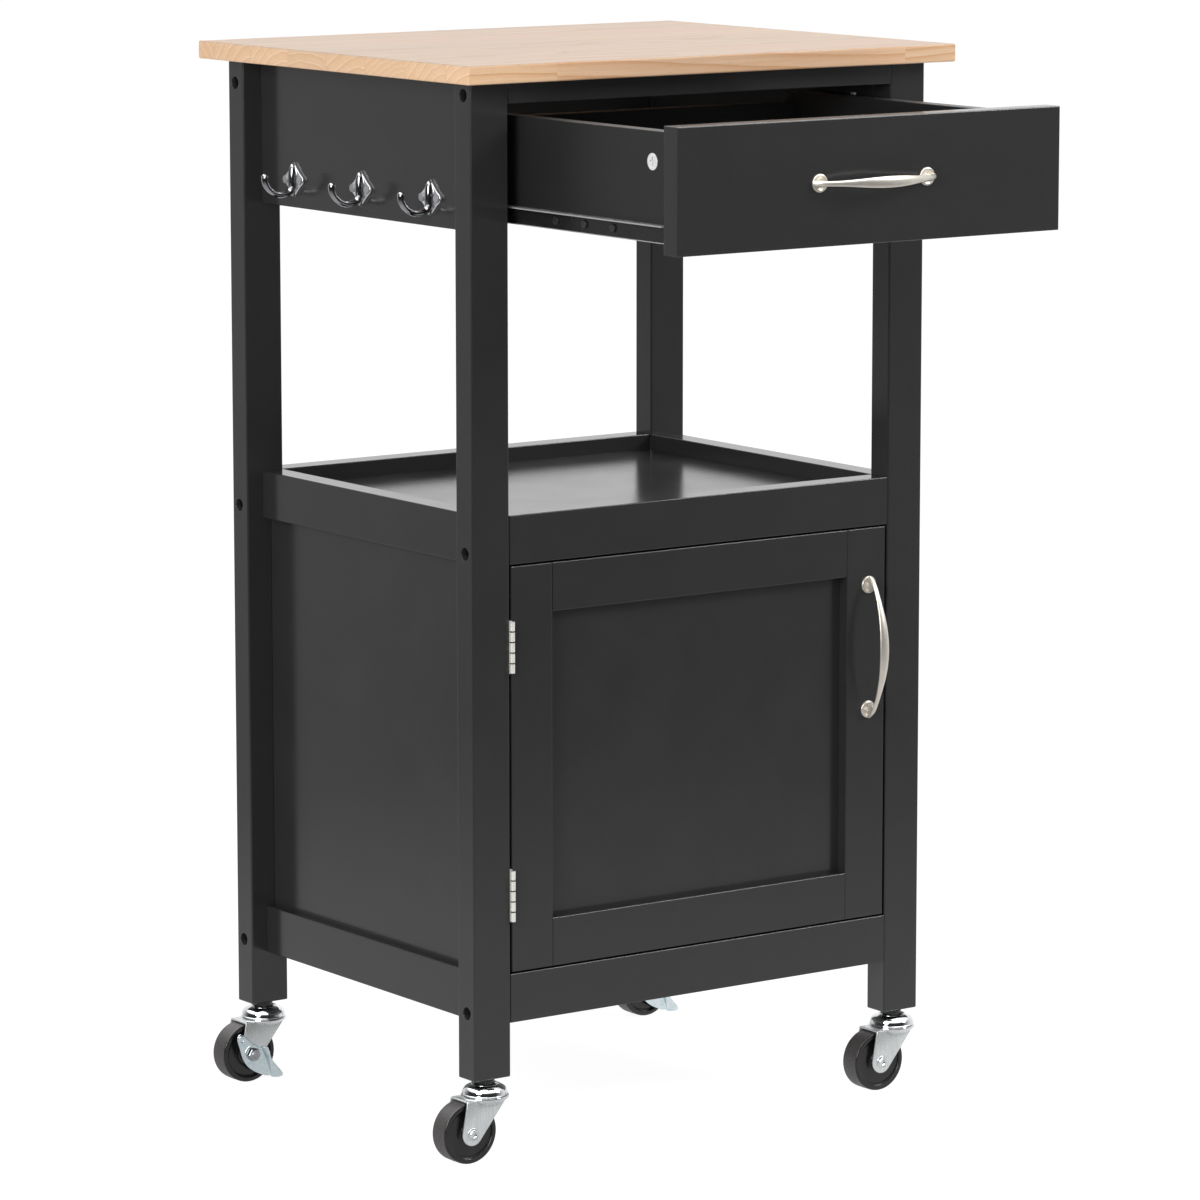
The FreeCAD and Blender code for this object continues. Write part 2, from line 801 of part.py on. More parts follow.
def hinge_knuckle(height, place):
    """The lowest and highest point of one knuckle, counted from the foot of the hinge."""
    pitch = hinge_length / hinge_knuckles
    low = height - hinge_length / 2 + place * pitch
    return low, low + pitch - hinge_knuckle_gap


def hinge_leaf(body_side, height, places):
    """A leaf with its knuckles: body_side -1 lies on the leg, 1 on the door."""
    flat = hinge_x + body_side * door_hinge_gap / 2
    near = flat - body_side * hinge_leaf_thickness
    half = hinge_length / 2
    plate = block((flat, near), (-half_depth, -half_depth + hinge_leaf_width), (height - half, height + half))
    pieces = [plate]
    for place in places:
        low, high = hinge_knuckle(height, place)
        pieces.append(rod(hinge_barrel_radius, Vector(hinge_x, hinge_y, low), Vector(hinge_x, hinge_y, high)))
        pieces.append(block((flat, near), (hinge_y, -half_depth), (low, high)))
    holes = [hinge_screw(body_side, screw_height) for screw_height in hinge_screw_heights()]
    bore = hinge_pin_radius + (hinge_pin_clearance if body_side > 0 else 0)
    holes.append(rod(bore, Vector(hinge_x, hinge_y, height - half - overrun),
                     Vector(hinge_x, hinge_y, height + half + overrun)))
    return joined(pieces).cut(holes)


def make_frame_leaves():
    pieces = []
    for height in hinge_heights:
        leaf = hinge_leaf(-1, height, range(0, hinge_knuckles, 2))
        low = hinge_knuckle(height, 0)[0]
        high = hinge_knuckle(height, hinge_knuckles - 1)[1]
        pin = rod(hinge_pin_radius, Vector(hinge_x, hinge_y, low), Vector(hinge_x, hinge_y, high))
        pieces.append(leaf.fuse(pin))
    return Part.makeCompound(pieces)


def make_door_leaves():
    return Part.makeCompound([hinge_leaf(1, height, range(1, hinge_knuckles, 2)) for height in hinge_heights])


# Magnetic catch and its plate


def catch_middle_x():
    return door_right - catch_inset - catch_width / 2


def catch_top():
    return shelf_rail_z + catch_height - catch_overlap


def make_catch():
    middle = catch_middle_x()
    body = eased(block((middle - catch_width / 2, middle + catch_width / 2), (-rail_y, catch_depth - rail_y),
                       (catch_top() - catch_height, catch_top())), catch_edge_radius)
    return body.cut([catch_screw(step) for step in (-1, 1)])


def catch_plate_z():
    return door_high - catch_overlap / 2


def catch_plate_screw():
    place = Vector(catch_middle_x(), door_back + catch_plate_thickness, catch_plate_z())
    return flat_screw(place, -OUT_Y, small_screw_radius, small_screw_head_radius, screw_length)


def make_catch_plate():
    middle = catch_middle_x()
    plate = block((middle - catch_plate_width / 2, middle + catch_plate_width / 2),
                  (door_back, door_back + catch_plate_thickness),
                  (catch_plate_z() - catch_plate_height / 2, catch_plate_z() + catch_plate_height / 2))
    return plate.cut(catch_plate_screw())


# Drawer


def drawer_floor_space(grown):
    reach_x = drawer_inner_x + drawer_groove - groove_clearance + grown
    return block((-reach_x, reach_x), (drawer_front_back - drawer_groove + groove_clearance - grown, drawer_rear),
                 (drawer_floor_low - grown, drawer_floor_top + grown))


def cam_place(side):
    return Vector(side * drawer_side_x, drawer_front_back + cam_setback, drawer_side_top - cam_drop)


def cam_space(side):
    face = cam_place(side)
    return rod(cam_radius, face, face - OUT_X * (side * cam_depth))


def cam_bolt(side):
    centre = cam_place(side) - OUT_X * (side * drawer_side_thickness / 2)
    return rod(cam_bolt_radius, centre, centre - OUT_Y * (cam_setback + cam_bolt_bite))


def make_cam(side):
    face = cam_place(side)
    inward = -OUT_X * side
    cross = []
    for along, across in ((OUT_Y, UP), (UP, OUT_Y)):
        corner = face - along * (cam_cross_length / 2) - across * (cam_cross_width / 2)
        run = inward * cam_cross_depth
        outline = [corner, corner + along * cam_cross_length,
                   corner + along * cam_cross_length + across * cam_cross_width, corner + across * cam_cross_width]
        cross.append(prism(outline, run))
    return cam_space(side).cut(cross + [cam_bolt(side)])


def back_screw(side, step):
    face = Vector(side * drawer_side_x, drawer_rear - drawer_side_thickness / 2,
                  (drawer_floor_top + drawer_side_top) / 2 + step * back_screw_spacing / 2)
    return flat_screw(face, -OUT_X * side, screw_radius, screw_head_radius, back_screw_length)


def drawer_handle_screw(step):
    place = Vector(step * handle_centres / 2, drawer_front_back, drawer_top - drawer_handle_drop)
    return pan_screw(place, -OUT_Y, handle_screw_radius, handle_screw_head_radius, handle_screw_head_height,
                     drawer_front_thickness + rosette_thickness)


def drawer_runner_screw(side, step):
    place = Vector(side * drawer_runner_x, drawer_front_back + drawer_runner_screw_inset
                   + (step - 1) * drawer_runner_screw_pitch, (drawer_runner_low + drawer_runner_top) / 2)
    return pan_screw(place, -OUT_X * side, screw_radius, screw_head_radius, screw_head_height,
                     drawer_side_thickness - runner_sheet)


def make_drawer_front():
    front = eased(block((-drawer_half, drawer_half), (drawer_face, drawer_front_back), (drawer_low, drawer_top)),
                  drawer_front_edge_radius)
    tools = [drawer_floor_space(groove_clearance)]
    tools += [drawer_handle_screw(step) for step in (-1, 1)]
    tools += [cam_bolt(side) for side in (-1, 1)]
    return cut_by(front, tools)


def make_drawer_side(side):
    board = eased(block((side * drawer_side_x, side * drawer_inner_x), (drawer_front_back, drawer_rear),
                        (drawer_side_low, drawer_side_top)), drawer_board_edge_radius)
    tools = [drawer_floor_space(groove_clearance), cam_space(side), cam_bolt(side)]
    tools += [back_screw(side, step) for step in (-1, 1)]
    tools += [drawer_runner_screw(side, step) for step in (0, 1, 2)]
    return cut_by(board, tools)


def make_drawer_back():
    board = eased(block((-drawer_inner_x, drawer_inner_x), (drawer_rear - drawer_side_thickness, drawer_rear),
                        (drawer_floor_top + groove_clearance, drawer_side_top - drawer_back_drop)),
                  drawer_board_edge_radius)
    return board.cut([back_screw(side, step) for side in (-1, 1) for step in (-1, 1)])


def make_drawer_handle():
    middle = Vector(0, drawer_face, drawer_top - drawer_handle_drop)
    return bow_handle(middle, OUT_X, -OUT_Y).cut([drawer_handle_screw(step) for step in (-1, 1)])


def make_drawer_fasteners():
    pieces = [drawer_handle_screw(step) for step in (-1, 1)]
    for side in (-1, 1):
        pieces += [make_cam(side), cam_bolt(side)]
        pieces += [back_screw(side, step) for step in (-1, 1)]
        pieces += [drawer_runner_screw(side, step) for step in (0, 1, 2)]
    return Part.makeCompound(pieces)


# Runners and their rollers


def roller_pin(side, wall_x, near_x, far_x, y):
    """A pin with a collar against its wall and a head that keeps the roller on.

    The roller lies between near_x and far_x, counted from the middle of the cart.
    """
    place = Vector(0, y, roller_z)
    sign = 1 if far_x > near_x else -1
    collar_end = near_x - sign * roller_side_gap
    head_start = far_x + sign * roller_side_gap
    head_end = head_start + sign * roller_pin_head_height
    pieces = [rod(roller_pin_radius, place + OUT_X * wall_x, place + OUT_X * head_end),
              rod(roller_pin_head_radius, place + OUT_X * wall_x, place + OUT_X * collar_end),
              rod(roller_pin_head_radius, place + OUT_X * head_start, place + OUT_X * head_end)]
    return mirrored(joined(pieces), side)


def make_cabinet_runner(side):
    """A channel on the apron, open towards the drawer, with the front roller's pin."""
    low = runner_floor_top - runner_sheet
    high = runner_roof_low + runner_sheet
    length = (runner_front, runner_rear)
    lip_front = cabinet_roller_y + roller_radius + roller_setback / 2
    floor_in = inner_x - runner_floor_width
    pieces = [block((inner_x, runner_web_x), length, (low, high)),
              block((inner_x, floor_in), length, (low, runner_floor_top)),
              block((inner_x, inner_x - runner_roof_width), length, (runner_roof_low, high)),
              block((floor_in, floor_in + runner_sheet), (lip_front, runner_rear),
                    (low, runner_floor_top + runner_lip_height))]
    channel = mirrored(joined(pieces), side)
    far = cabinet_roller_in + roller_side_gap
    pin = roller_pin(side, runner_web_x, far + roller_width, far, cabinet_roller_y)
    return joined([channel, pin]).cut([runner_screw(side, step) for step in (-1, 0, 1)])


def make_drawer_runner(side):
    """A steel angle under the drawer side, with a lip that rides on the front roller."""
    length = (drawer_front_back + drawer_runner_setback, drawer_rear)
    pieces = [block((drawer_side_x, drawer_runner_x), length, (drawer_runner_low, drawer_runner_top)),
              block((drawer_runner_x, drawer_side_x - drawer_runner_foot), length,
                    (drawer_runner_low, drawer_side_low)),
              block((drawer_side_x, drawer_runner_x + drawer_runner_lip), length,
                    (drawer_runner_top - runner_sheet, drawer_runner_top))]
    angle = mirrored(joined(pieces), side)
    far = drawer_roller_out - roller_side_gap
    pin = roller_pin(side, drawer_runner_x, far - roller_width, far, drawer_roller_y)
    return joined([angle, pin]).cut([drawer_runner_screw(side, step) for step in (0, 1, 2)])


def roller(side, low_x, y):
    place = Vector(side * low_x, y, roller_z)
    far = place + OUT_X * (side * roller_width)
    bore = rod(roller_pin_radius + roller_pin_clearance, place - OUT_X * (side * overrun),
               far + OUT_X * (side * overrun))
    return rod(roller_radius, place, far).cut(bore)


def make_cabinet_rollers():
    return Part.makeCompound([roller(side, cabinet_roller_in + roller_side_gap, cabinet_roller_y)
                              for side in (-1, 1)])


def make_drawer_rollers():
    return Part.makeCompound([roller(side, drawer_roller_out - roller_side_gap - roller_width, drawer_roller_y)
                              for side in (-1, 1)])


# Castors


def stem_place(side, row):
    return Vector(side * caster_x, row * caster_y, 0)


def axle_place(side, row):
    return stem_place(side, row) - OUT_X * caster_trail + UP * wheel_radius


def make_stem(side, row):
    """A threaded stem with its nut, the domed cap of the race and the riveted king pin."""
    neck_low = foot_z - neck_height
    rim_top = neck_low - dome_height
    rim_low = rim_top - dome_rim
    head_top = fork_top - fork_step - fork_sheet - race_gap
    outline = [(0, foot_z + stem_length), (stem_radius, foot_z + stem_length), (stem_radius, foot_z),
               (neck_radius, foot_z), (neck_radius, neck_low)]
    dome_steps = 6
    for step in range(1, dome_steps + 1):
        turn = math.pi / 2 * step / dome_steps
        outline.append((neck_radius + (dome_radius - neck_radius) * math.sin(turn),
                        rim_top + dome_height * math.cos(turn)))
    outline += [(dome_radius, rim_low), (king_pin_radius, rim_low), (king_pin_radius, head_top),
                (king_pin_head_radius, head_top), (king_pin_head_radius, head_top - king_pin_head_height),
                (0, head_top - king_pin_head_height)]
    return turned(outline, stem_place(side, row), UP)


def tangent_point(corner, centre, radius, side):
    """Where a line from the corner touches the circle, on one side of it."""
    gap = math.hypot(corner[0] - centre[0], corner[1] - centre[1])
    towards = math.atan2(corner[1] - centre[1], corner[0] - centre[0])
    turn = towards + side * math.acos(radius / gap)
    return centre[0] + radius * math.cos(turn), centre[1] + radius * math.sin(turn)


def fork_plate(place, axle, face, run):
    """One side of the fork: a straight top and a rounded end about the axle."""
    top = fork_top - fork_step
    heel = (axle.x - fork_heel, top)
    nose = (place.x + fork_nose, top)
    centre = (axle.x, axle.z)
    corners = [heel, nose, tangent_point(nose, centre, fork_boss_radius, -1), centre,
               tangent_point(heel, centre, fork_boss_radius, 1)]
    plate = prism([Vector(x, face, z) for x, z in corners], OUT_Y * run)
    start = Vector(axle.x, face, axle.z)
    return plate.fuse(rod(fork_boss_radius, start, start + OUT_Y * run))


def fork_crown(place, axle):
    """The top of the fork: a flat bridge, a raised disc under the race, and a bulge over each side plate."""
    bridge_top = fork_top - fork_step
    low = bridge_top - fork_sheet
    bridge = block((axle.x - fork_heel, place.x), (place.y - fork_outer, place.y + fork_outer), (low, bridge_top))
    disc = rod(fork_disc_radius, place + UP * low, place + UP * fork_top)
    bulge = cone(fork_outer, fork_disc_radius, place + UP * (low - fork_bulge_height), place + UP * low)
    half = fork_inner_width / 2
    between = block((place.x - fork_disc_radius, place.x + fork_disc_radius), (place.y - half, place.y + half),
                    (low - fork_bulge_height, low))
    return [bridge, disc, bulge.cut(between)]


def make_fork(side, row):
    """The fork with its riveted axle. On a braked castor the axle carries a nut in front."""
    place = stem_place(side, row)
    axle = axle_place(side, row)
    half = fork_inner_width / 2
    pieces = fork_crown(place, axle)
    pieces.append(fork_plate(place, axle, place.y + half, fork_sheet))
    pieces.append(fork_plate(place, axle, place.y - half, -fork_sheet))
    front = axle_reach if row > 0 else fork_outer
    pieces.append(rod(axle_radius, axle - OUT_Y * front, axle + OUT_Y * fork_outer))
    rivet_faces = [(axle + OUT_Y * fork_outer, OUT_Y)]
    if row > 0:
        pieces.append(hexagon(axle_nut_radius, axle - OUT_Y * axle_nut_low, axle - OUT_Y * axle_reach))
    else:
        rivet_faces.append((axle - OUT_Y * fork_outer, -OUT_Y))
    pieces += [rivet(face, outward) for face, outward in rivet_faces]
    fork = joined(pieces)
    hollows = [rod(rivet_hollow_radius, face + outward * (rivet_height - rivet_hollow_depth),
                   face + outward * (rivet_height + overrun)) for face, outward in rivet_faces]
    bore = rod(king_pin_radius + king_pin_clearance, place + UP * (fork_top - overrun),
               place + UP * (fork_top + overrun))
    return fork.cut(hollows + [bore])


def rivet(face, outward):
    """A low domed head."""
    ball_radius = (rivet_radius ** 2 + rivet_height ** 2) / (2 * rivet_height)
    centre = face + outward * (rivet_height - ball_radius)
    return Part.makeSphere(ball_radius, centre).common(rod(rivet_radius, face, face + outward * rivet_height))


def make_wheel(side, row):
    """A moulded wheel: rounded tread, raised rim, dished face and a hub."""
    half = wheel_width / 2
    bore = axle_radius + axle_clearance
    rim_in = wheel_radius - wheel_rim_width - wheel_edge_radius
    half_outline = [(bore, half + wheel_hub_stand), (wheel_hub_radius, half + wheel_hub_stand),
                    (wheel_hub_radius, half - wheel_dish), (rim_in, half - wheel_dish), (rim_in, half)]
    steps = 5
    for step in range(steps + 1):
        turn = math.pi / 2 * step / steps
        half_outline.append((wheel_radius - wheel_edge_radius * (1 - math.sin(turn)),
                             half - wheel_edge_radius * (1 - math.cos(turn))))
    other_half = [(radius, -along) for radius, along in reversed(half_outline)]
    return turned(half_outline + other_half, axle_place(side, row), OUT_Y)


def make_lever(side):
    """The stamped brake lever of a rear castor, with the edge for the foot folded outwards."""
    axle = axle_place(side, 1)
    back = axle.y - fork_outer - lever_gap
    outline_shares = ((0.87, -0.8), (0.6, -0.83), (0.33, -0.74), (0.08, -0.62), (-0.2, -0.41),
                      (-0.38, -0.14), (-0.48, 0.17), (-0.56, 0.42), (-0.59, 0.62), (-0.45, 0.74),
                      (-0.31, 0.64), (0.08, 0.27), (0.36, 0.17))
    tip_shares = (1.13, -0.87)
    edge_shares = (0.62, 0.02)
    hole_shares = (-0.42, 0.55)

    def on_lever(shares, out):
        return Vector(axle.x + lever_reach * shares[0], back - out, axle.z + lever_reach * shares[1])

    outline = [on_lever(shares, 0) for shares in outline_shares]
    plate = prism(outline, -OUT_Y * lever_sheet)
    tip = on_lever(tip_shares, lever_tab_out)
    edge = on_lever(edge_shares, lever_edge_out)
    tab = folded_tab([outline[0], tip, edge, outline[-1]], axle)
    bore = rod(axle_radius + axle_clearance, axle - OUT_Y * axle_reach, axle)
    hole = rod(lever_hole_radius, on_lever(hole_shares, lever_sheet + overrun), on_lever(hole_shares, -overrun))
    return joined([plate, tab]).cut([bore, hole])


def folded_tab(corners, axle):
    """A four-cornered piece of sheet made of two flat triangles, thick towards the axle."""
    first = (corners[1] - corners[0]).cross(corners[3] - corners[0]).normalize()
    inwards = first if first.dot(axle - corners[0]) > 0 else -first
    shift = inwards * lever_sheet
    low = prism([corners[0], corners[1], corners[3]], shift)
    return joined([low, prism([corners[1], corners[2], corners[3]], shift)])


def make_parts():
    parts = {"worktop": make_worktop(), "top_rail_front": make_top_rail(), "shelf_board": make_board(shelf_z),
             "cabinet_floor": make_board(floor_z), "back_panel": back_panel_space(0),
             "frame_bolts": make_frame_bolts(), "hooks": make_hooks(), "carcass_screws": make_carcass_screws(),
             "hinge_frame_leaves": make_frame_leaves(), "magnet_catch": make_catch()}
    apron_rear = cross_rail(1, apron_z, head_z)
    parts["apron_rear"] = apron_rear
    for row, row_name in ((-1, "front"), (1, "rear")):
        parts["shelf_rail_" + row_name] = make_shelf_rail(cross_rail, row)
        parts["bottom_rail_" + row_name] = make_bottom_rail(cross_rail, row)
    for side, side_name in ((-1, "left"), (1, "right")):
        parts["apron_" + side_name] = make_side_apron(side)
        parts["shelf_rail_" + side_name] = make_shelf_rail(side_rail, side)
        parts["bottom_rail_" + side_name] = make_bottom_rail(side_rail, side)
        parts["side_panel_" + side_name] = side_panel_space(side, 0)
        parts["runner_cabinet_" + side_name] = make_cabinet_runner(side)
        parts["runner_drawer_" + side_name] = make_drawer_runner(side)
        parts["drawer_side_" + side_name] = make_drawer_side(side)
        parts["brake_lever_" + side_name] = make_lever(side)
        for row, row_name in ((-1, "front"), (1, "rear")):
            corner = row_name + "_" + side_name
            parts["leg_" + corner] = make_leg(side, row)
            parts["caster_fork_" + corner] = make_fork(side, row)
            parts["caster_wheel_" + corner] = make_wheel(side, row)
    parts["caster_stems"] = Part.makeCompound([make_stem(side, row) for side in (-1, 1) for row in (-1, 1)])
    parts["door_stile_hinge"] = make_door_stile(-1)
    parts["door_stile_handle"] = make_door_stile(1)
    parts["door_rail_top"] = make_door_rail(1)
    parts["door_rail_bottom"] = make_door_rail(-1)
    parts["door_panel"] = door_panel_space(0)
    parts["door_handle"] = make_door_handle()
    parts["hinge_door_leaves"] = make_door_leaves()
    parts["door_screws"] = make_door_screws()
    parts["catch_plate"] = make_catch_plate()
    parts["drawer_front"] = make_drawer_front()
    parts["drawer_back"] = make_drawer_back()
    parts["drawer_bottom"] = drawer_floor_space(0)
    parts["drawer_handle"] = make_drawer_handle()
    parts["drawer_fasteners"] = make_drawer_fasteners()
    parts["cabinet_rollers"] = make_cabinet_rollers()
    parts["drawer_rollers"] = make_drawer_rollers()
    return parts


os.makedirs("parts", exist_ok=True)
for name, shape in make_parts().items():
    print(name, len(shape.Solids), shape.isValid(), round(shape.Volume))
    shape.exportStep("parts/" + name + ".step")
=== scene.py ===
# %% [markdown]
# # A serving cart, dressed for its portrait
#
# The shape of this cart comes from a CAD model in real sizes. This lesson gives it its looks: a camera,
# soft light, materials that follow the real finishes, and finer versions of the small metal parts.
# Each step starts with a few words on what the real thing is and why it is made this way here.

# %% Load the frame
import math
from functools import partial
import bmesh
import bpy
from mathutils import Matrix, Vector


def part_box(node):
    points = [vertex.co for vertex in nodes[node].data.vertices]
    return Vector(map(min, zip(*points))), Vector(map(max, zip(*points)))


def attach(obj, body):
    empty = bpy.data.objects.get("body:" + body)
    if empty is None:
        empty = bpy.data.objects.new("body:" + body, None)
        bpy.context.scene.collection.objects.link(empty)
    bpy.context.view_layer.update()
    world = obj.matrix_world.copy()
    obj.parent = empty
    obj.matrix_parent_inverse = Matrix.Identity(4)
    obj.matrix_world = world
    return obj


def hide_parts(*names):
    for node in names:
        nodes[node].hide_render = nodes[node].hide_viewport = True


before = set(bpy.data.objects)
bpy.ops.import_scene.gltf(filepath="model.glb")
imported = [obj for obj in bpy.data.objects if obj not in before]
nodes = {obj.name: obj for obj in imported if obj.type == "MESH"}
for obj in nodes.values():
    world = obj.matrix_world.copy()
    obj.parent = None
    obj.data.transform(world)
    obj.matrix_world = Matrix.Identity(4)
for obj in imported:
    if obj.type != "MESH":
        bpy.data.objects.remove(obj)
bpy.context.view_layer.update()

# %% [markdown]
# ## Sizes
#
# Blender works in metres and a maker thinks in millimetres, so `at` turns one into the other.
# X runs to the right, Y to the back and Z up, as in the CAD model.

# %% Millimetres and directions
mm = 0.001
X, Y, Z = Vector((1, 0, 0)), Vector((0, 1, 0)), Vector((0, 0, 1))


def at(x, y, z):
    """A point of the frame, given in millimetres."""
    return Vector((x, y, z)) * mm


origin = at(0, 0, 0)

# %% [markdown]
# ## The camera
#
# The picture was taken from the front left with a long lens, a little above the worktop. A long lens
# keeps the far legs nearly as large as the near ones. The camera's place was worked out from the
# edges of the cart, and it looks slightly down.

# %% Camera
camera_place = (-2.58491, -3.66085, 1.1191)
camera_turn = (80.808, 0.023, -35.475)  # in degrees
focal_length, sensor_width = 170.64, 36  # in millimetres

bpy.ops.object.select_all(action="DESELECT")
bpy.ops.object.camera_add(location=camera_place)
camera = bpy.context.object
camera.name = "portrait_camera"
camera.rotation_euler = [math.radians(turn) for turn in camera_turn]
camera.data.sensor_width = sensor_width
camera.data.lens = focal_length
camera.data.clip_start = 0.05
camera.data.clip_end = 100
bpy.context.scene.camera = camera
print("camera", [round(v, 3) for v in camera.location], "lens", camera.data.lens)

# %% [markdown]
# ## Colours and nodes
#
# Colours are picked on a screen, as sRGB hex values, but Blender adds up light in linear values, so
# one function turns one into the other. A second small function adds a node with its settings and
# links, so that each material reads as a short recipe. Inputs are named, or numbered as i0, i1 and
# so on where a node has several of one name.

# %% Helpers for colours and nodes


def colour(hex_value):
    """An sRGB hex value as a linear colour."""
    channels = [int(hex_value[place:place + 2], 16) / 255 for place in (1, 3, 5)]
    linear = [c / 12.92 if c <= 0.04045 else ((c + 0.055) / 1.055) ** 2.4 for c in channels]
    return (*linear, 1.0)


rgba = {"data_type": "RGBA"}
smooth_step = {"interpolation_type": "SMOOTHSTEP"}
four_d = {"noise_dimensions": "4D"}


def add_node(tree, kind, settings=None, **inputs):
    """A node. Settings are a dict, or the name of an operation. An input is a value, a hex colour,
    an output of another node, or a node, which stands for its first output."""
    node = tree.nodes.new("ShaderNode" + kind)
    settings = {"operation": settings} if isinstance(settings, str) else settings or {}
    for name, value in settings.items():
        setattr(node, name, value)
    for name, value in inputs.items():
        numbered = name[0] == "i" and name[1:].isdigit()
        socket = node.inputs[int(name[1:]) if numbered else name.replace("_", " ")]
        value = value.outputs[0] if isinstance(value, bpy.types.Node) else value
        if isinstance(value, bpy.types.NodeSocket):
            tree.links.new(value, socket)
        else:
            socket.default_value = colour(value) if isinstance(value, str) else value
    return node


def empty_tree(owner):
    """Empties the node tree of a material or world, and returns the function that adds nodes to it."""
    owner.use_nodes = True
    owner.node_tree.nodes.clear()
    return partial(add_node, owner.node_tree)


def object_place(add):
    """Where a point of the object is, as Blender has it and in millimetres."""
    place = add("TexCoord")
    return place, add("Mapping", i3=(1 / mm, 1 / mm, 1 / mm), Vector=place.outputs["Object"])


def new_material(name):
    """An empty material, and the function that adds nodes to it."""
    material = bpy.data.materials.new(name)
    return material, empty_tree(material)


# %% [markdown]
# ## Studio
#
# The cart stands in a white studio. To the camera, floor and background are plain white, and the floor
# keeps a faint shadow. Polished metal needs something dark to mirror, or it looks like paper, so what
# is mirrored is a white paper sweep behind and under the cart, brightest straight behind it, a dark room
# behind the camera, and a soft box under the ceiling, which draws the light lines on rounded edges.
# The light that falls on the cart stays at a level at which a colour renders about as it is written.

# %% Where the paper sweep is
behind_cart = (0.75, 0.66, 0.0)
paper_radius = 1.1
floor_size = 60
white_level, window_level, soft_box_level, room_level = 1.0, 0.12, 3.0, 0.04
even_level = 0.34  # of the light on matt surfaces, from every side
camera_share = 0.72  # of plain white in the floor that the camera sees; the rest takes shadows

# %% Floor
bpy.ops.object.select_all(action="DESELECT")
bpy.ops.mesh.primitive_plane_add(size=floor_size, location=(0, 0, 0))
floor = bpy.context.object
floor.name = "studio_floor"

material, add = new_material("white_paper_floor")
place = add("TexCoord")
way = add("VectorMath", "NORMALIZE", i0=place.outputs["Object"])
behind = add("VectorMath", "DOT_PRODUCT", i0=way, i1=behind_cart)
far = add("VectorMath", "LENGTH", i0=place.outputs["Object"])
near = add("MapRange", smooth_step, Value=far.outputs["Value"], From_Min=paper_radius * 0.3,
           From_Max=paper_radius * 2.2, To_Min=1.15, To_Max=0.0)
back = add("MapRange", smooth_step, Value=behind.outputs["Value"], From_Min=-0.4, From_Max=0.8)
share = add("Math", "MULTIPLY_ADD", i0=back, i1=0.4, i2=0.6)
near = add("Math", "MULTIPLY", i0=near, i1=share)
paper = add("Math", "MAXIMUM", i0=near, i1=back)
mirrored = add("MapRange", Value=paper, To_Min=room_level, To_Max=white_level)
path = add("LightPath")
plain = add("BsdfDiffuse", Color="#f4f4f4")
glow = add("Emission", Color=(1, 1, 1, 1), Strength=1.3)
seen = add("Math", "MULTIPLY", i0=path.outputs["Is Camera Ray"], i1=camera_share)
for_camera = add("MixShader", Fac=seen, i1=plain, i2=glow)
white = add("Emission", Color=(1, 1, 1, 1), Strength=mirrored)
surface = add("MixShader", Fac=path.outputs["Is Glossy Ray"], i1=for_camera, i2=white)
add("OutputMaterial", Surface=surface)
floor.data.materials.append(material)

# %% World
world = bpy.data.worlds.new("studio_room")
bpy.context.scene.world = world
add = empty_tree(world)
way = add("TexCoord")
behind = add("VectorMath", "DOT_PRODUCT", i0=way.outputs["Generated"], i1=behind_cart)
back = add("MapRange", smooth_step, Value=behind.outputs["Value"], From_Min=-0.4, From_Max=0.8,
           To_Min=room_level, To_Max=white_level)
window = add("MapRange", smooth_step, Value=behind.outputs["Value"], From_Min=0.8, From_Max=0.98,
             To_Max=window_level)
back = add("Math", "ADD", i0=back, i1=window)
height = add("SeparateXYZ", i0=way.outputs["Generated"])
ceiling = add("MapRange", smooth_step, Value=height.outputs[2], From_Min=0.3, From_Max=0.62,
              To_Max=white_level)
soft_box = add("MapRange", smooth_step, Value=height.outputs[2], From_Min=0.5, From_Max=0.75,
               To_Max=soft_box_level)
ceiling = add("Math", "ADD", i0=ceiling, i1=soft_box)
back = add("Math", "MAXIMUM", i0=back, i1=ceiling)
path = add("LightPath")
mirror = add("Math", "MAXIMUM", i0=path.outputs["Is Glossy Ray"], i1=path.outputs["Is Transmission Ray"])
even = add("Mix", i0=mirror, i2=even_level, i3=back)
seen = add("Mix", i0=path.outputs["Is Camera Ray"], i2=even, i3=1.0)
sky = add("Background", Color=(1, 1, 1, 1), Strength=seen)
add("OutputWorld", Surface=sky)

# %% Lamps


def soft_lamp(name, place, aim, size, power):
    """A large round lamp that looks at a point."""
    bpy.ops.object.light_add(type="AREA", location=place)
    lamp = bpy.context.object
    lamp.name = name
    lamp.data.shape = "DISK"
    lamp.data.size = size
    lamp.data.energy = power
    lamp.rotation_euler = (Vector(aim) - Vector(place)).to_track_quat("-Z", "Y").to_euler()
    return lamp


cart_middle = (0, 0, 0.45)
key_left = soft_lamp("key_left", (-3.1, -1.5, 1.5), cart_middle, size=1.8, power=77)
fill_right = soft_lamp("fill_right", (2.4, -2.6, 2.3), cart_middle, size=1.4, power=71)

# %% [markdown]
# Seen low from behind, the flat lacquered worktop and the shelf would mirror a whole lamp and go white. A
# photographer takes that mirror image away with a flag or a filter. Here each lamp leaves these two boards
# out, and a twin lights the boards alone, with the same power but without a mirror image.

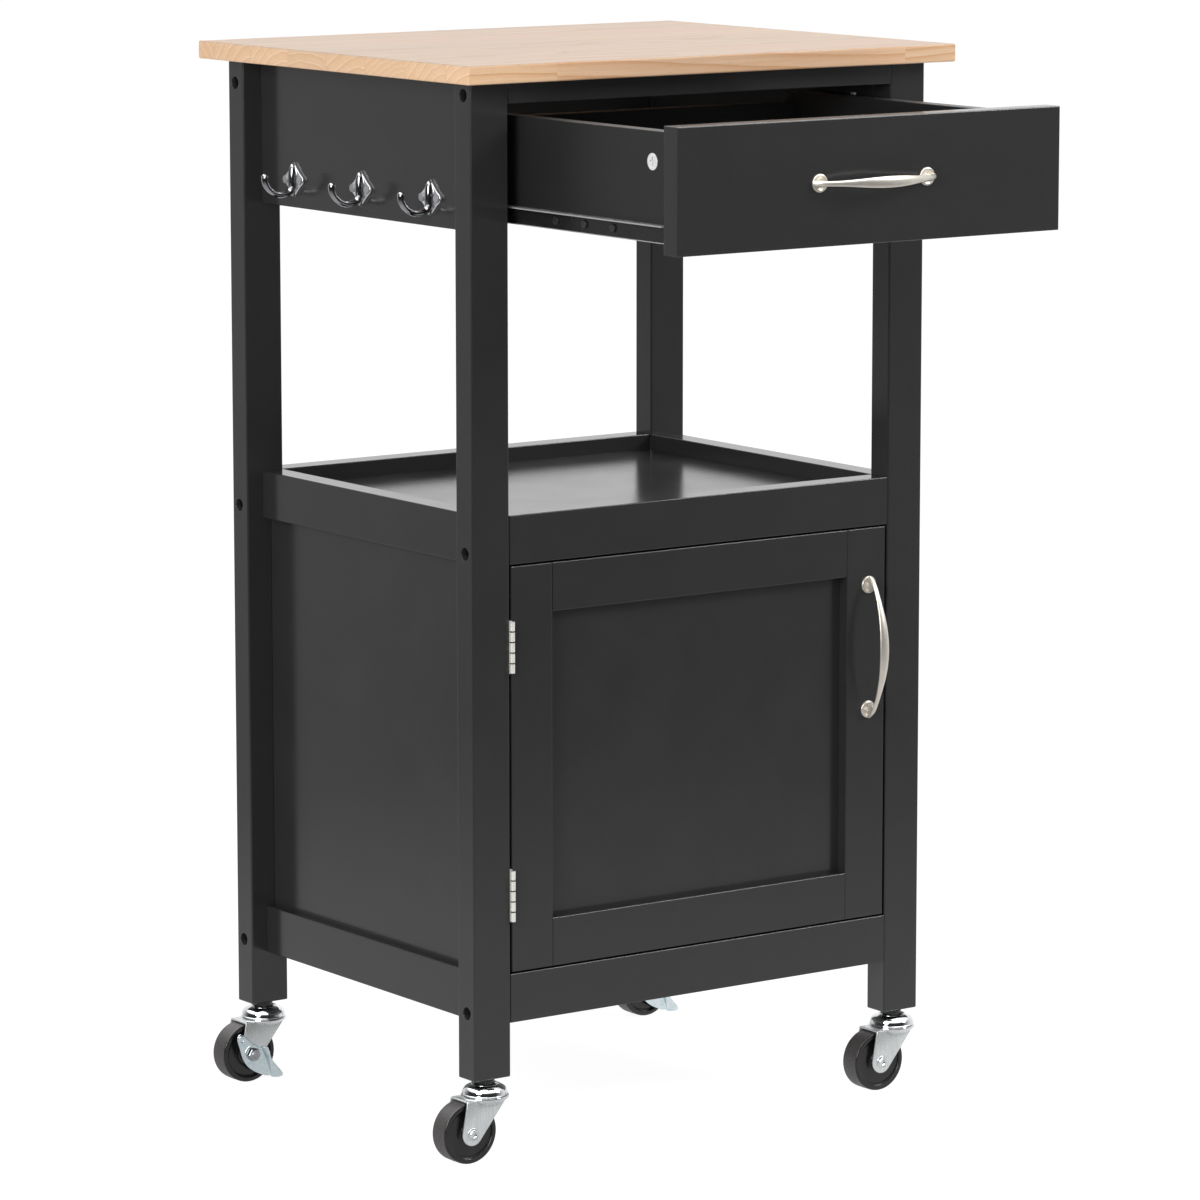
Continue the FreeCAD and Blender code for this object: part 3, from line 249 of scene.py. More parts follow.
# %% Lamps without a mirror image in the flat boards
flat_boards = bpy.data.collections.new("flat_boards")
all_but_boards = bpy.data.collections.new("all_but_flat_boards")
for group in (flat_boards, all_but_boards):
    for name in ("worktop", "shelf_board"):
        group.objects.link(nodes[name])
for board in all_but_boards.collection_objects:
    board.light_linking.link_state = "EXCLUDE"
for lamp in (key_left, fill_right):
    twin = lamp.copy()
    twin.data = lamp.data.copy()
    twin.name = f"{lamp.name}_on_boards"
    bpy.context.collection.objects.link(twin)
    lamp.light_linking.receiver_collection = all_but_boards
    twin.light_linking.receiver_collection = flat_boards
    twin.visible_glossy = False

# %% [markdown]
# ## Worktop wood
#
# The worktop is rubberwood: staves about 55 mm wide, glued edge to edge, and each stave is itself
# several lengths joined end to end. Every length comes from another place in the tree, so each has its
# own tint and its own growth rings. Rings are cylinders about the pith, so one 3-D pattern gives long
# flowing lines on the top and front and arcs on the end grain. The lacquer is clear and satin.

# %% Rubberwood
stave_width, stave_length = 54.5, 330.0
stave_edge = 3.5  # where one edge of a stave lies
row_shift, length_shift = 0.377, 0.964  # of a stave's length: from row to row, and of all rows
length_seed = 17.3
pith_sideways, pith_heights, pith_lean = 38.0, (745.0, 806.0), 0.05
ring_spacings, ring_wobble = (4.5, 10.0), 7.0
# how each noise is scaled: all are drawn out along the stave
along_stave = {"bend": (0.006, 0.03, 0.03), "fibre": (0.018, 0.9, 0.9), "cloud": (0.004, 0.11, 0.11),
               "pore": (0.16, 2.1, 2.1)}


def rubberwood():
    """Staves of several lengths, each with its own rings and tint, under clear lacquer."""
    material, add = new_material("lacquered_rubberwood")
    place, size = object_place(add)
    parts = add("SeparateXYZ", i0=size)
    # which stave, and which length of it
    across = add("Math", "SUBTRACT", i0=parts.outputs[1], i1=stave_edge)
    share = add("Math", "DIVIDE", i0=across, i1=stave_width)
    row = add("Math", "FLOOR", i0=share)
    start = add("Math", "MULTIPLY", i0=row, i1=row_shift)
    start = add("Math", "FRACT", i0=start)
    along = add("Math", "DIVIDE", i0=parts.outputs[0], i1=stave_length)
    along = add("Math", "ADD", i0=along, i1=start)
    along = add("Math", "ADD", i0=along, i1=length_shift)
    length = add("Math", "FLOOR", i0=along)
    seed = add("Math", "MULTIPLY_ADD", i0=length, i1=length_seed, i2=row)
    chance = add("TexWhiteNoise", {"noise_dimensions": "1D"}, W=seed)
    luck = add("SeparateColor", i0=chance.outputs["Color"])
    # the pith of each length lies outside the board, and leans a little
    pith_y = add("MapRange", Value=luck.outputs[0], To_Min=-pith_sideways, To_Max=pith_sideways)
    pith_z = add("MapRange", Value=luck.outputs[1], To_Min=pith_heights[0], To_Max=pith_heights[1])
    lean = add("MapRange", Value=luck.outputs[2], To_Min=-pith_lean, To_Max=pith_lean)
    middle = add("Math", "FRACT", i0=share)
    middle = add("Math", "MULTIPLY_ADD", i0=middle, i1=stave_width, i2=-stave_width / 2)
    drift = add("Math", "MULTIPLY", i0=parts.outputs[0], i1=lean)
    side = add("Math", "SUBTRACT", i0=middle, i1=pith_y)
    up = add("Math", "SUBTRACT", i0=parts.outputs[2], i1=pith_z)
    up = add("Math", "ADD", i0=up, i1=drift)
    bend = add("Mapping", i3=along_stave["bend"], Vector=size)
    wave = add("TexNoise", four_d, Vector=bend, W=seed, Scale=1.0, Detail=2.0)
    wobble = add("MapRange", Value=wave, To_Min=-ring_wobble, To_Max=ring_wobble)
    flat = add("CombineXYZ", i0=side, i1=up)
    radius = add("VectorMath", "LENGTH", i0=flat)
    radius = add("Math", "ADD", i0=radius.outputs["Value"], i1=wobble)
    growth = add("MapRange", Value=luck.outputs[2], To_Min=ring_spacings[0], To_Max=ring_spacings[1])
    ring = add("Math", "DIVIDE", i0=radius, i1=growth)
    ring = add("Math", "FRACT", i0=ring)
    late = add("Math", "POWER", i0=ring, i1=3.0)
    soft = add("MapRange", smooth_step, Value=ring, From_Min=0.93, To_Min=1.0, To_Max=0.0)
    late = add("Math", "MULTIPLY", i0=late, i1=soft)
    # on the cut ends the rings are fainter, and their early wood shows as a light line
    facing = add("SeparateXYZ", i0=place.outputs["Normal"])
    top_face_painted_darker = add("Math", "GREATER_THAN", i0=facing.outputs[2], i1=0.7)
    facing = add("Math", "ABSOLUTE", i0=facing.outputs[0])
    cut_end = add("Math", "GREATER_THAN", i0=facing, i1=0.7)
    depth = add("MapRange", Value=cut_end, To_Min=0.78, To_Max=0.34)
    pale = add("MapRange", smooth_step, Value=ring, From_Max=0.16, To_Min=0.7, To_Max=0.0)
    pale = add("Math", "MULTIPLY", i0=pale, i1=cut_end)
    # fibres along the stave, drawn twice as coarse as real ones so that they show
    thread = add("Mapping", i3=along_stave["fibre"], Vector=size)
    fibre = add("TexNoise", four_d, Vector=thread, W=seed, Scale=1.0, Detail=5.0, Roughness=0.62)
    broad = add("Mapping", i3=along_stave["cloud"], Vector=size)
    cloud = add("TexNoise", four_d, Vector=broad, W=seed, Scale=1.0, Detail=3.0)
    # open pores: short dark dashes along the stave
    dash = add("Mapping", i3=along_stave["pore"], Vector=size)
    pore = add("TexNoise", Vector=dash, Scale=1.0, Detail=1.0, Roughness=0.4)
    pore = add("MapRange", smooth_step, Value=pore, From_Min=0.66, From_Max=0.75)
    # colours: early wood, late wood, fibres, the tint of each length, pores
    early = add("Mix", rgba, i0=cloud, i6="#eac49f", i7="#f2d5b8")
    rings = add("Math", "MULTIPLY", i0=late, i1=depth)
    body = add("Mix", rgba, i0=rings, i6=early.outputs[2], i7="#cb8c58")
    body = add("Mix", rgba, i0=pale, i6=body.outputs[2], i7="#fbead6")
    streak = add("MapRange", Value=fibre, From_Min=0.3, From_Max=0.7, To_Max=0.5)
    body = add("Mix", rgba, i0=streak, i6=body.outputs[2], i7="#dba66f")
    tint = add("MapRange", Value=luck.outputs[1], To_Min=0.88, To_Max=1.02)
    blush = add("MapRange", Value=luck.outputs[0], From_Min=0.6, To_Max=0.3)
    body = add("Mix", rgba, i0=blush, i6=body.outputs[2], i7="#dba589")
    # painted shade: faces that look up are painted darker than the edges, for the light that falls on the top
    tint = add("Math", "MULTIPLY_ADD", i0=top_face_painted_darker, i1=-0.18, i2=tint)
    warm = add("HueSaturation", Value=tint, Color=body.outputs[2])
    dark = add("Math", "MULTIPLY", i0=pore, i1=0.45)
    wood = add("Mix", rgba, i0=dark, i6=warm, i7="#a8734a")
    # glue lines between the staves
    gap = add("Math", "PINGPONG", i0=across, i1=stave_width / 2)
    seam = add("MapRange", smooth_step, Value=gap, From_Max=0.35, To_Min=0.45, To_Max=0.0)
    wood = add("Mix", rgba, i0=seam, i6=wood.outputs[2], i7="#b98355")
    sheen = add("MapRange", Value=fibre, To_Min=0.24, To_Max=0.36)
    arris = add("Bevel", {"samples": 4}, Radius=0.8 * mm)
    bump = add("Bump", Strength=0.12, Distance=0.0003, Height=fibre, Normal=arris)
    shader = add("BsdfPrincipled", Base_Color=wood.outputs[2], Roughness=sheen, Normal=bump, IOR=1.5,
                 Specular_IOR_Level=0.34)
    add("OutputMaterial", Surface=shader)
    return material


hardwood = rubberwood()

# %% [markdown]
# ## Satin black paint
#
# Frame, drawer and door are sprayed with satin black lacquer. On solid timber the grain still telegraphs
# through as faint long ridges, along the length of each member. On the fibreboard panels only the
# spray's fine orange peel is left. Black paint is never quite black: it is a very dark grey with a
# clear reflection that grows at a low angle, which is what makes the rails' tops and the shelf shine.
# Sanding and paint leave every edge a little round, and a Bevel node lets each one catch its line of light.

# %% Painted timber and board
peel_size, pore_pitch, arris_radius = 1.4, 0.8, 0.8  # in millimetres
joint_share = 0.004  # of a member's length: a dark crack where it meets the next


def satin_black(name, grain, ridge, relief, painted_shade=1.0, blur=1.0, seam=0.0):
    """Paint on a member whose grain runs along the axis with the small scale. A seam darkens its ends, and a
    painted shade below 1 darkens it all.
    """
    material, add = new_material(name)
    place, size = object_place(add)
    peel = add("TexNoise", Vector=size, Scale=1 / peel_size, Detail=2.0)
    long = add("Mapping", i3=grain, Vector=size)
    fibre = add("TexNoise", Vector=long, Scale=1 / pore_pitch, Detail=3.0, Roughness=0.55)
    cloud = add("TexNoise", Vector=size, Scale=0.02, Detail=3.0)
    tone = add("Mix", rgba, i0=cloud, i6="#28282a", i7="#303030")
    fine = add("Mix", rgba, i0=ridge, i6=tone.outputs[2], i7="#2c2c2c")
    streak = add("MapRange", Value=fibre, From_Min=0.3, From_Max=0.7, To_Min=0.93, To_Max=1.07)
    level = add("Mix", i0=ridge, i2=1.0, i3=streak)
    # painted shade: a level below 1 darkens the whole member, for shade that falls on it
    level = add("Math", "MULTIPLY", i0=level, i1=painted_shade)
    if seam:
        share = add("SeparateXYZ", i0=place.outputs["Generated"])
        near_end = add("Math", "PINGPONG", i0=share.outputs[grain.index(min(grain))], i1=0.5)
        line = add("MapRange", Value=near_end, From_Max=joint_share, To_Min=1 - seam)
        level = add("Math", "MULTIPLY", i0=level, i1=line)
    paint = add("HueSaturation", Value=level, Color=fine.outputs[2])
    sheen = add("MapRange", Value=cloud, To_Min=0.14 * blur, To_Max=0.22 * blur)
    mixed = add("Mix", i0=ridge, i2=peel, i3=fibre)
    arris = add("Bevel", {"samples": 4}, Radius=arris_radius * mm)
    bump = add("Bump", Strength=relief, Distance=0.0002, Height=mixed, Normal=arris)
    shader = add("BsdfPrincipled", Base_Color=paint, Roughness=sheen, Normal=bump, IOR=1.5)
    add("OutputMaterial", Surface=shader)
    return material


# name, scales of the grain, share of the ridges, relief, painted shade, blur of the reflection
along_x = satin_black("satin_black_on_timber_x", (0.05, 1, 1), 0.45, 0.07, seam=0.75)
along_y = satin_black("satin_black_on_timber_y", (1, 0.05, 1), 0.45, 0.07, seam=0.75)
drawer_face = satin_black("satin_black_on_drawer_front", (0.05, 1, 1), 0.45, 0.07)
along_z = satin_black("satin_black_on_timber_z", (1, 1, 0.05), 0.45, 0.07)
# the drawer sides are painted darker, at 0.6: painted shade for the worktop's shadow on them
drawer_sides = satin_black("satin_black_with_painted_shade_on_drawer_sides", (1, 0.05, 1), 0.4, 0.05, 0.6, 2.2)
on_board = satin_black("satin_black_on_fibreboard", (1, 1, 1), 0.0, 0.2)

# %% [markdown]
# ## Metals and plastics
#
# Plated metals get their colour from the plating: nickel is warm, chrome neutral, black chrome dark,
# and zinc passivated blue is a pale blue-grey with a faint mottle of pink and yellow. Metals keep the
# default index of refraction. What tells them apart is colour and roughness, so one recipe makes them
# all: a base colour, a second tint that clouds it, and roughness that varies a little with the cloud.
# On the hinges, dark lines mark the gaps between the knuckles, where grease and shadow gather.

# %% Plated metals
knuckle_pitch, hinge_height, barrel_depth, line_half_width = 8.1, 40.2, 3.0, 0.5  # in millimetres


def knuckle_lines(add, size):
    """A mask: 1 in the dark gaps between the knuckles of both hinges. The size is a place in mm."""
    (_, front, foot), (_, _, head) = [[v / mm for v in corner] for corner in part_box("hinge_frame_leaves")]
    upper_foot = head - hinge_height
    parts = add("SeparateXYZ", i0=size)
    upper = add("Math", "GREATER_THAN", i0=parts.outputs[2], i1=(foot + head) / 2)
    start = add("Math", "MULTIPLY_ADD", i0=upper, i1=foot - upper_foot, i2=-foot)
    height = add("Math", "ADD", i0=parts.outputs[2], i1=start)
    off = add("Math", "PINGPONG", i0=height, i1=knuckle_pitch / 2)
    line = add("Math", "LESS_THAN", i0=off, i1=line_half_width)
    barrel = add("Math", "LESS_THAN", i0=parts.outputs[1], i1=front + barrel_depth)
    return add("Math", "MULTIPLY", i0=line, i1=barrel)


def plated(name, base, tint, rough, cloud_size, metallic=1.0, stretch=1.0, knuckles=False):
    """A plated metal. The cloud size is in millimetres, and stretch below 1 draws it out upwards."""
    material, add = new_material(name)
    _, size = object_place(add)
    drawn = add("Mapping", i3=(1, 1, stretch), Vector=size)
    cloud = add("TexNoise", Vector=drawn, Scale=1 / cloud_size, Detail=2.0)
    blend = add("MapRange", Value=cloud, From_Min=0.3, From_Max=0.7)
    tone = add("Mix", rgba, i0=blend, i6=base, i7=tint)
    if knuckles:
        line = knuckle_lines(add, size)
        tone = add("Mix", rgba, i0=line, i6=tone.outputs[2], i7="#1c1b1a")
    sheen = add("MapRange", Value=cloud, To_Min=rough * 0.7, To_Max=rough * 1.3)
    grit = add("TexNoise", Vector=size, Scale=1.5, Detail=1.0)
    bump = add("Bump", Strength=0.04, Distance=0.0001, Height=grit)
    shader = add("BsdfPrincipled", Base_Color=tone.outputs[2], Roughness=sheen, Metallic=metallic,
                 Normal=bump)
    add("OutputMaterial", Surface=shader)
    return material


# name, colour, second tint, roughness, size of the cloud, share of metal, stretch of the cloud
satin_nickel = plated("satin_nickel_on_zinc_casting", "#dad4ca", "#cfc9bf", 0.34, 9.0, 0.72)
black_chrome = plated("black_chrome_on_zinc_casting", "#a6a7aa", "#9a9b9e", 0.08, 5.0)
bright_plate = plated("polished_chrome_on_zinc_casting", "#ececee", "#e0e1e3", 0.16, 5.0, 0.9)
dark_nut = plated("black_chrome_on_steel", "#a5a7aa", "#8f9194", 0.12, 3.0)
bright_zinc = plated("bright_zinc_on_steel", "#faf8f2", "#ebe8e0", 0.3, 2.0, 0.4)
hinge_zinc = plated("bright_zinc_on_hinges", "#faf8f2", "#ebe8e0", 0.3, 2.0, 0.4, knuckles=True)
blue_zinc = plated("blue_passivated_zinc_on_steel", "#bccfd5", "#d9e0e2", 0.15, 5.0)
pale_zinc = plated("bright_zinc_on_pressed_sheet", "#dcdfdf", "#cdd1d2", 0.28, 2.2, 0.6, 0.12)
chrome = plated("chrome_on_steel", "#dfe1e3", "#d6d8da", 0.07, 8.0)
black_zinc = plated("black_zinc_on_steel", "#2b2b2c", "#222223", 0.34, 2.0, 0.7)

# %% [markdown]
# The screws are one CAD node for each body, but they are of several kinds: those of the hooks are chromed,
# those of the runners are black, and the rest are bright. A mask on the place picks the tone, so that one
# material serves them all.

# %% Screws


def mixed_screws(name, other_tone, axis, limit):
    """Bright screws, which have another tone where the place on an axis is below a limit in metres."""
    material, add = new_material(name)
    place = add("TexCoord")
    parts = add("SeparateXYZ", i0=place.outputs["Object"])
    other = add("Math", "LESS_THAN", i0=parts.outputs[axis], i1=limit)
    grain = add("TexNoise", Vector=place.outputs["Object"], Scale=700.0, Detail=3.0)
    bright = add("Mix", rgba, i0=grain, i6="#f4f4f4", i7="#e2e2e0")
    tone = add("Mix", rgba, i0=other, i6=bright.outputs[2], i7=other_tone)
    sheen = add("MapRange", Value=grain, To_Min=0.14, To_Max=0.28)
    dome = add("Bevel", {"samples": 4}, Radius=1.2 * mm)
    shader = add("BsdfPrincipled", Base_Color=tone.outputs[2], Roughness=sheen, Metallic=0.25, Normal=dome)
    add("OutputMaterial", Surface=shader)
    return material


apron_face, runner_top = -0.1985, 0.738  # in metres: past these lie the hooks' and the runners' screws
frame_screws = mixed_screws("screws_of_the_frame", "#98999c", 0, apron_face)
drawer_screws = mixed_screws("screws_of_the_drawer", "#343436", 2, runner_top)

# %% [markdown]
# The plastics are moulded: the wheels are hard black polypropylene with a slight gloss and a fine
# grain from the mould, the rollers are nylon and the catch is plain. The runners are not plastic but
# steel sheet with a baked black coat, which is smooth and glossier than the paint on the wood.

# %% Moulded plastic and coated sheet


def smooth_coat(name, base, tint, rough, grain_size, strength, mottle=8.0, highlight_heights=None):
    """A black plastic or baked coat with a fine grain, in millimetres, with a painted highlight past two
    heights.
    """
    material, add = new_material(name)
    _, size = object_place(add)
    grain = add("TexNoise", Vector=size, Scale=1 / grain_size, Detail=3.0, Roughness=0.6)
    cloud = add("TexNoise", Vector=size, Scale=1 / mottle, Detail=3.0)
    blend = add("MapRange", Value=cloud, From_Min=0.3, From_Max=0.7)
    tone = add("Mix", rgba, i0=blend, i6=base, i7=tint)
    # painted highlight: past the two heights the lips are painted light grey, for the light that their edges
    # catch
    if highlight_heights:
        height = add("SeparateXYZ", i0=size)
        above = add("Math", "GREATER_THAN", i0=height.outputs[2], i1=highlight_heights[1])
        below = add("Math", "LESS_THAN", i0=height.outputs[2], i1=highlight_heights[0])
        painted_highlight = add("Math", "MAXIMUM", i0=above, i1=below)
        tone = add("Mix", rgba, i0=painted_highlight, i6=tone.outputs[2], i7="#9c9c9c")
    sheen = add("MapRange", Value=cloud, To_Min=rough * 0.75, To_Max=rough * 1.25)
    arris = add("Bevel", {"samples": 4}, Radius=0.4 * mm)
    bump = add("Bump", Strength=strength, Distance=0.0001, Height=grain, Normal=arris)
    shader = add("BsdfPrincipled", Base_Color=tone.outputs[2], Roughness=sheen, Normal=bump, IOR=1.49)
    add("OutputMaterial", Surface=shader)
    return material


# name, colour, second tint, roughness, size and strength of the grain, size of the mottle
wheel_plastic = smooth_coat("moulded_black_polypropylene", "#141415", "#1c1c1c", 0.2, 0.9, 0.15)
worn_tread = smooth_coat("scuffed_polypropylene_tread", "#2f2d2d", "#545050", 0.45, 0.7, 0.6, 1.1)
baked_black = smooth_coat("baked_black_coat_on_steel", "#191919", "#202020", 0.26, 0.9, 0.12)
runner_highlight_heights = (717.0, 728.9)  # the heights, in millimetres, past which the runner's lips get a painted highlight in light grey
black_coat_with_painted_highlights = smooth_coat("baked_black_coat_worn_at_its_lips", "#191919", "#202020", 0.26, 0.9, 0.12,
                         highlight_heights=runner_highlight_heights)
nylon = smooth_coat("black_nylon", "#262626", "#2c2c2c", 0.48, 0.4, 0.2)
catch_plastic = smooth_coat("black_catch_plastic", "#202020", "#262626", 0.5, 0.5, 0.25)

# %% [markdown]
# ## Dressing the CAD nodes
#
# Timber members, boards and small steel parts have the right shape already, so they only get their
# finish. The grain of each member runs along its length, as a joiner would cut it.

# %% Assign


def each(names, ends="left right"):
    """Every name with every ending."""
    return [f"{name}_{end}" for name in names.split() for end in ends.split()]


def finished(piece, *finishes):
    """Gives a piece its finish. Where it has several, its faces wear the first until they get another."""
    piece.data.materials.clear()
    for finish in finishes:
        piece.data.materials.append(finish)
    return piece


finishes = {
    hardwood: ["worktop"],
    along_x: ["apron_rear", "top_rail_front", *each("shelf_rail bottom_rail", "front rear"),
              *each("door_rail", "top bottom")],
    drawer_face: each("drawer", "front back"),
    along_y: each("apron shelf_rail bottom_rail"),
    drawer_sides: each("drawer_side"),
    along_z: each("leg_front leg_rear") + each("door_stile", "hinge handle"),
    on_board: ["shelf_board", *each("side_panel"), "back_panel", "cabinet_floor", "door_panel",
               "drawer_bottom"],
    black_zinc: ["frame_bolts"],
    frame_screws: ["carcass_screws"],
    drawer_screws: ["drawer_fasteners"],
    hinge_zinc: ["hinge_frame_leaves", "hinge_door_leaves"],
    bright_zinc: ["door_screws", "catch_plate"],
    baked_black: each("runner_cabinet"),
    black_coat_with_painted_highlights: each("runner_drawer"),
    nylon: each("cabinet drawer", "rollers"),
    catch_plastic: ["magnet_catch"],
    satin_nickel: each("door drawer", "handle"),
    black_chrome: ["hooks"],
    blue_zinc: ["caster_stems", *each("brake_lever caster_fork_front caster_fork_rear")],
    wheel_plastic: each("caster_wheel_front caster_wheel_rear"),
}
for finish, names in finishes.items():
    for name in names:
        finished(nodes[name], finish)
dressed = {name for names in finishes.values() for name in names}
print("dressed", len(dressed), "nodes; left over:", sorted(set(nodes) - dressed))

# %% [markdown]
# ## Tools for small metal parts
#
# The small parts are turned, drawn out or stamped in real life, and three helpers copy that. The first two
# start from a plane that is merged to one vertex and drawn out to a line. `turned` spins the line, which is
# half a section, as on a lathe. `stamped` takes it as an outline, fills it, gives it the sheet's thickness
# and rounds its edges, which is what catches the light. `drawn_bar` pushes a ring along a path and lets it
# swell, turn and shrink.

# %% Start and end of a piece
hair = mm / 1000


def activate(*pieces):
    """Selects these pieces alone, with the first as the active one."""
    bpy.ops.object.select_all(action="DESELECT")
    for piece in pieces:
        piece.select_set(True)
    bpy.context.view_layer.objects.active = pieces[0]


def mode(name):
    """Goes into EDIT or OBJECT mode."""
    bpy.ops.object.mode_set(mode=name)


def pull(way):
    """Draws a new part out of what is selected."""
    bpy.ops.mesh.extrude_region_move(TRANSFORM_OT_translate={"value": way})


def pick_all():
    """Selects the whole mesh that is being edited."""
    bpy.ops.mesh.select_all(action="SELECT")


def drawn_line(name, points):
    """A new piece that is a line through these points, left in edit mode with all of it selected."""
    bpy.ops.object.select_all(action="DESELECT")
    bpy.ops.mesh.primitive_plane_add(size=mm, location=(0, 0, 0))
    piece = bpy.context.object
    piece.name = name
    mode("EDIT")
    bpy.ops.mesh.merge(type="CENTER")
    bpy.ops.transform.translate(value=points[0])
    for here, there in zip(points, points[1:]):
        pull(there - here)
    pick_all()
    return piece


def close_up(piece, soft_angle=35):
    """Merges what coincides, turns the faces outwards and shades the piece."""
    pick_all()
    bpy.ops.mesh.remove_doubles(threshold=hair)
    bpy.ops.mesh.normals_make_consistent(inside=False)
    mode("OBJECT")
    bpy.ops.object.shade_smooth_by_angle(angle=math.radians(soft_angle))
    return piece


# %% Turned, stamped and drawn pieces


def turned(name, profile, foot, axis, steps=64):
    """A piece spun about an axis. The profile is radius and height in millimetres, from the foot."""
    across = Z if abs(axis.z) < 0.5 else X
    piece = drawn_line(name, [foot + (across * radius + axis * height) * mm for radius, height in profile])
    bpy.ops.mesh.spin(steps=steps, angle=math.tau, center=foot, axis=axis)
    return close_up(piece)


def stamped(name, outline, run, rim):
    """A sheet with this outline, run in metres thick, with rounded edges."""
    piece = drawn_line(name, outline)
    bpy.ops.mesh.edge_face_add()
    pull(run)
    pick_all()
    bpy.ops.mesh.normals_make_consistent(inside=False)
    bpy.ops.mesh.select_all(action="DESELECT")
    bpy.ops.mesh.select_mode(type="EDGE")
    mesh = bmesh.from_edit_mesh(piece.data)
    flat = run.normalized()
    for edge in mesh.edges:
        edge.select = abs((edge.verts[0].co - edge.verts[1].co).dot(flat)) < hair
    bmesh.update_edit_mesh(piece.data)
    bpy.ops.mesh.bevel(offset=rim, segments=3, affect="EDGES")
    bpy.ops.mesh.select_mode(type="VERT")
    return close_up(piece)


def drawn_bar(name, centres, half_widths, half_depths, sides=16):
    """A bar through centres that lie in the XZ plane. It is wide along Y and deep across the path."""
    angles = []
    for place in range(len(centres)):
        way = centres[min(place + 1, len(centres) - 1)] - centres[max(place - 1, 0)]
        angles.append(math.atan2(way.x, way.z))
    bpy.ops.object.select_all(action="DESELECT")
    bpy.ops.mesh.primitive_circle_add(vertices=sides, radius=1, fill_type="NOTHING", location=(0, 0, 0))
    piece = bpy.context.object
    piece.name = name
    mode("EDIT")
    pick_all()
    bpy.ops.transform.resize(value=(half_depths[0], half_widths[0], 1), center_override=(0, 0, 0))
    bpy.ops.transform.rotate(value=-angles[0], orient_axis="Y", center_override=(0, 0, 0))
    bpy.ops.transform.translate(value=centres[0])
    bpy.ops.mesh.edge_face_add()
    for place in range(1, len(centres)):
        here, there = centres[place - 1], centres[place]
        pull(there - here)
        bpy.ops.transform.rotate(value=angles[place - 1], orient_axis="Y", center_override=there)
        bpy.ops.transform.resize(value=(half_depths[place] / half_depths[place - 1],
                                        half_widths[place] / half_widths[place - 1], 1),
                                 center_override=there)
        bpy.ops.transform.rotate(value=-angles[place], orient_axis="Y", center_override=there)
    pick_all()
    return close_up(piece, 50)


# %% Joining, copying and sorting in


def joined(name, pieces):
    """Several shells as one piece."""
    activate(*pieces)
    bpy.ops.object.join()
    pieces[0].name = name
    return pieces[0]


def placed(piece, name, place, turn=Matrix.Identity(3)):
    """A copy with its own mesh, turned and moved in the mesh."""
    copy = piece.copy()
    copy.data = piece.data.copy()
    copy.name = name
    copy.data.name = name
    bpy.context.collection.objects.link(copy)
    copy.matrix_world = Matrix.Translation(place) @ turn.to_4x4()
    activate(copy)
    bpy.ops.object.transform_apply(location=True, rotation=True, scale=True)
    return copy


def compare(name):
    """Works out the box of a piece, in millimetres; it is not printed."""
    places = [vertex.co / mm for vertex in bpy.data.objects[name].data.vertices]
    made = [round(end(place[k] for place in places), 1) for end in (min, max) for k in range(3)]


def belongs(piece, finish, body, slot, *replaced):
    """Gives a piece its finish and the body that it rides on, and hides the CAD nodes that it stands for."""
    if finish:
        finished(piece, finish)
    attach(piece, body)
    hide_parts(*replaced)


# %% [markdown]
# ## Bow handles
#
# Each handle is a zinc casting: two round dished feet, a thin upright fin on each, and a flat bow that
# swells towards its middle. The bow is drawn in the XZ plane, out along X and long along Z, the feet are
# turned, and the fin is stamped. One handle is made, then turned to lie on the drawer and to stand on
# the door.

# %% Handle
handle_span, handle_rise = 50.0, 21.7
end_width, end_depth = 3.9, 2.4  # of the bow
more_width, more_depth = 4.7, 1.0  # what it gains towards its middle
fin_sheet = 2.2
arch = [(1.12, 0.1, 0), (1.1, 0.17, 0), (1.07, 0.25, 0), (1.04, 0.32, 0), (1.0, 0.39, 0), (0.93, 0.48, 0.01),
        (0.84, 0.57, 0.05), (0.77, 0.64, 0.11), (0.7, 0.7, 0.2), (0.6, 0.78, 0.35), (0.5, 0.85, 0.51),
        (0.39, 0.91, 0.68), (0.28, 0.955, 0.83), (0.14, 0.988, 0.95)]
arch = [(-along, up, swell) for along, up, swell in arch] + [(0, 1, 1)] + arch[::-1]
bow = drawn_bar("bow", [at(handle_rise * up, 0, handle_span * along) for along, up, _ in arch],
                [(end_width + more_width * swell) / 2 * mm for *_, swell in arch],
                [(end_depth + more_depth * swell) / 2 * mm for *_, swell in arch], 20)
dished_foot = [(0, 0), (6.4, 0), (6.85, 0.35), (6.9, 0.9), (6.75, 1.5), (6.3, 1.9), (5.7, 2.0), (5.0, 1.75),
               (4.2, 1.35), (3.2, 1.1), (2.0, 1.05), (0, 1.05)]
shells = [bow]
for end in (-1, 1):
    foot = turned("foot", dished_foot, at(0, 0, end * handle_span), X)
    fin = [(0.3, 43.9), (0.3, 56.6), (2.6, 56.3), (5.4, 53.6), (8.5, 50.2), (9.4, 49.0), (8.2, 46.4),
           (4.0, 44.6)]
    fin = stamped("fin", [at(out, -fin_sheet / 2, end * along) for out, along in fin], at(0, fin_sheet, 0),
                  0.7 * mm)
    shells += [foot, fin]
handle = joined("handle", shells)
to_drawer = Matrix(((0, 0, 1), (-1, 0, 0), (0, -1, 0)))
to_door = Matrix(((0, 1, 0), (-1, 0, 0), (0, 0, 1)))
drawer_bow = placed(handle, "drawer_bow_handle", at(0, -379, 756.5), to_drawer)
door_bow = placed(handle, "door_bow_handle", at(162.5, -170, 363.5), to_door)
bpy.data.objects.remove(handle)
belongs(drawer_bow, satin_nickel, "drawer", "satin_nickel", "drawer_handle")
belongs(door_bow, satin_nickel, "door", "satin_nickel", "door_handle")
for side in ("drawer", "door"):
    compare(f"{side}_bow_handle")

# %% [markdown]
# ## Hooks
#
# The three hooks are small castings: a pointed plate in bright chrome with a lug for a screw on each side,
# an upright rounded body on it in black chrome, and an arm that leaves the body low down, dips, and turns
# up to a round tip. They are made once, joined, and copied to the three places on the apron.

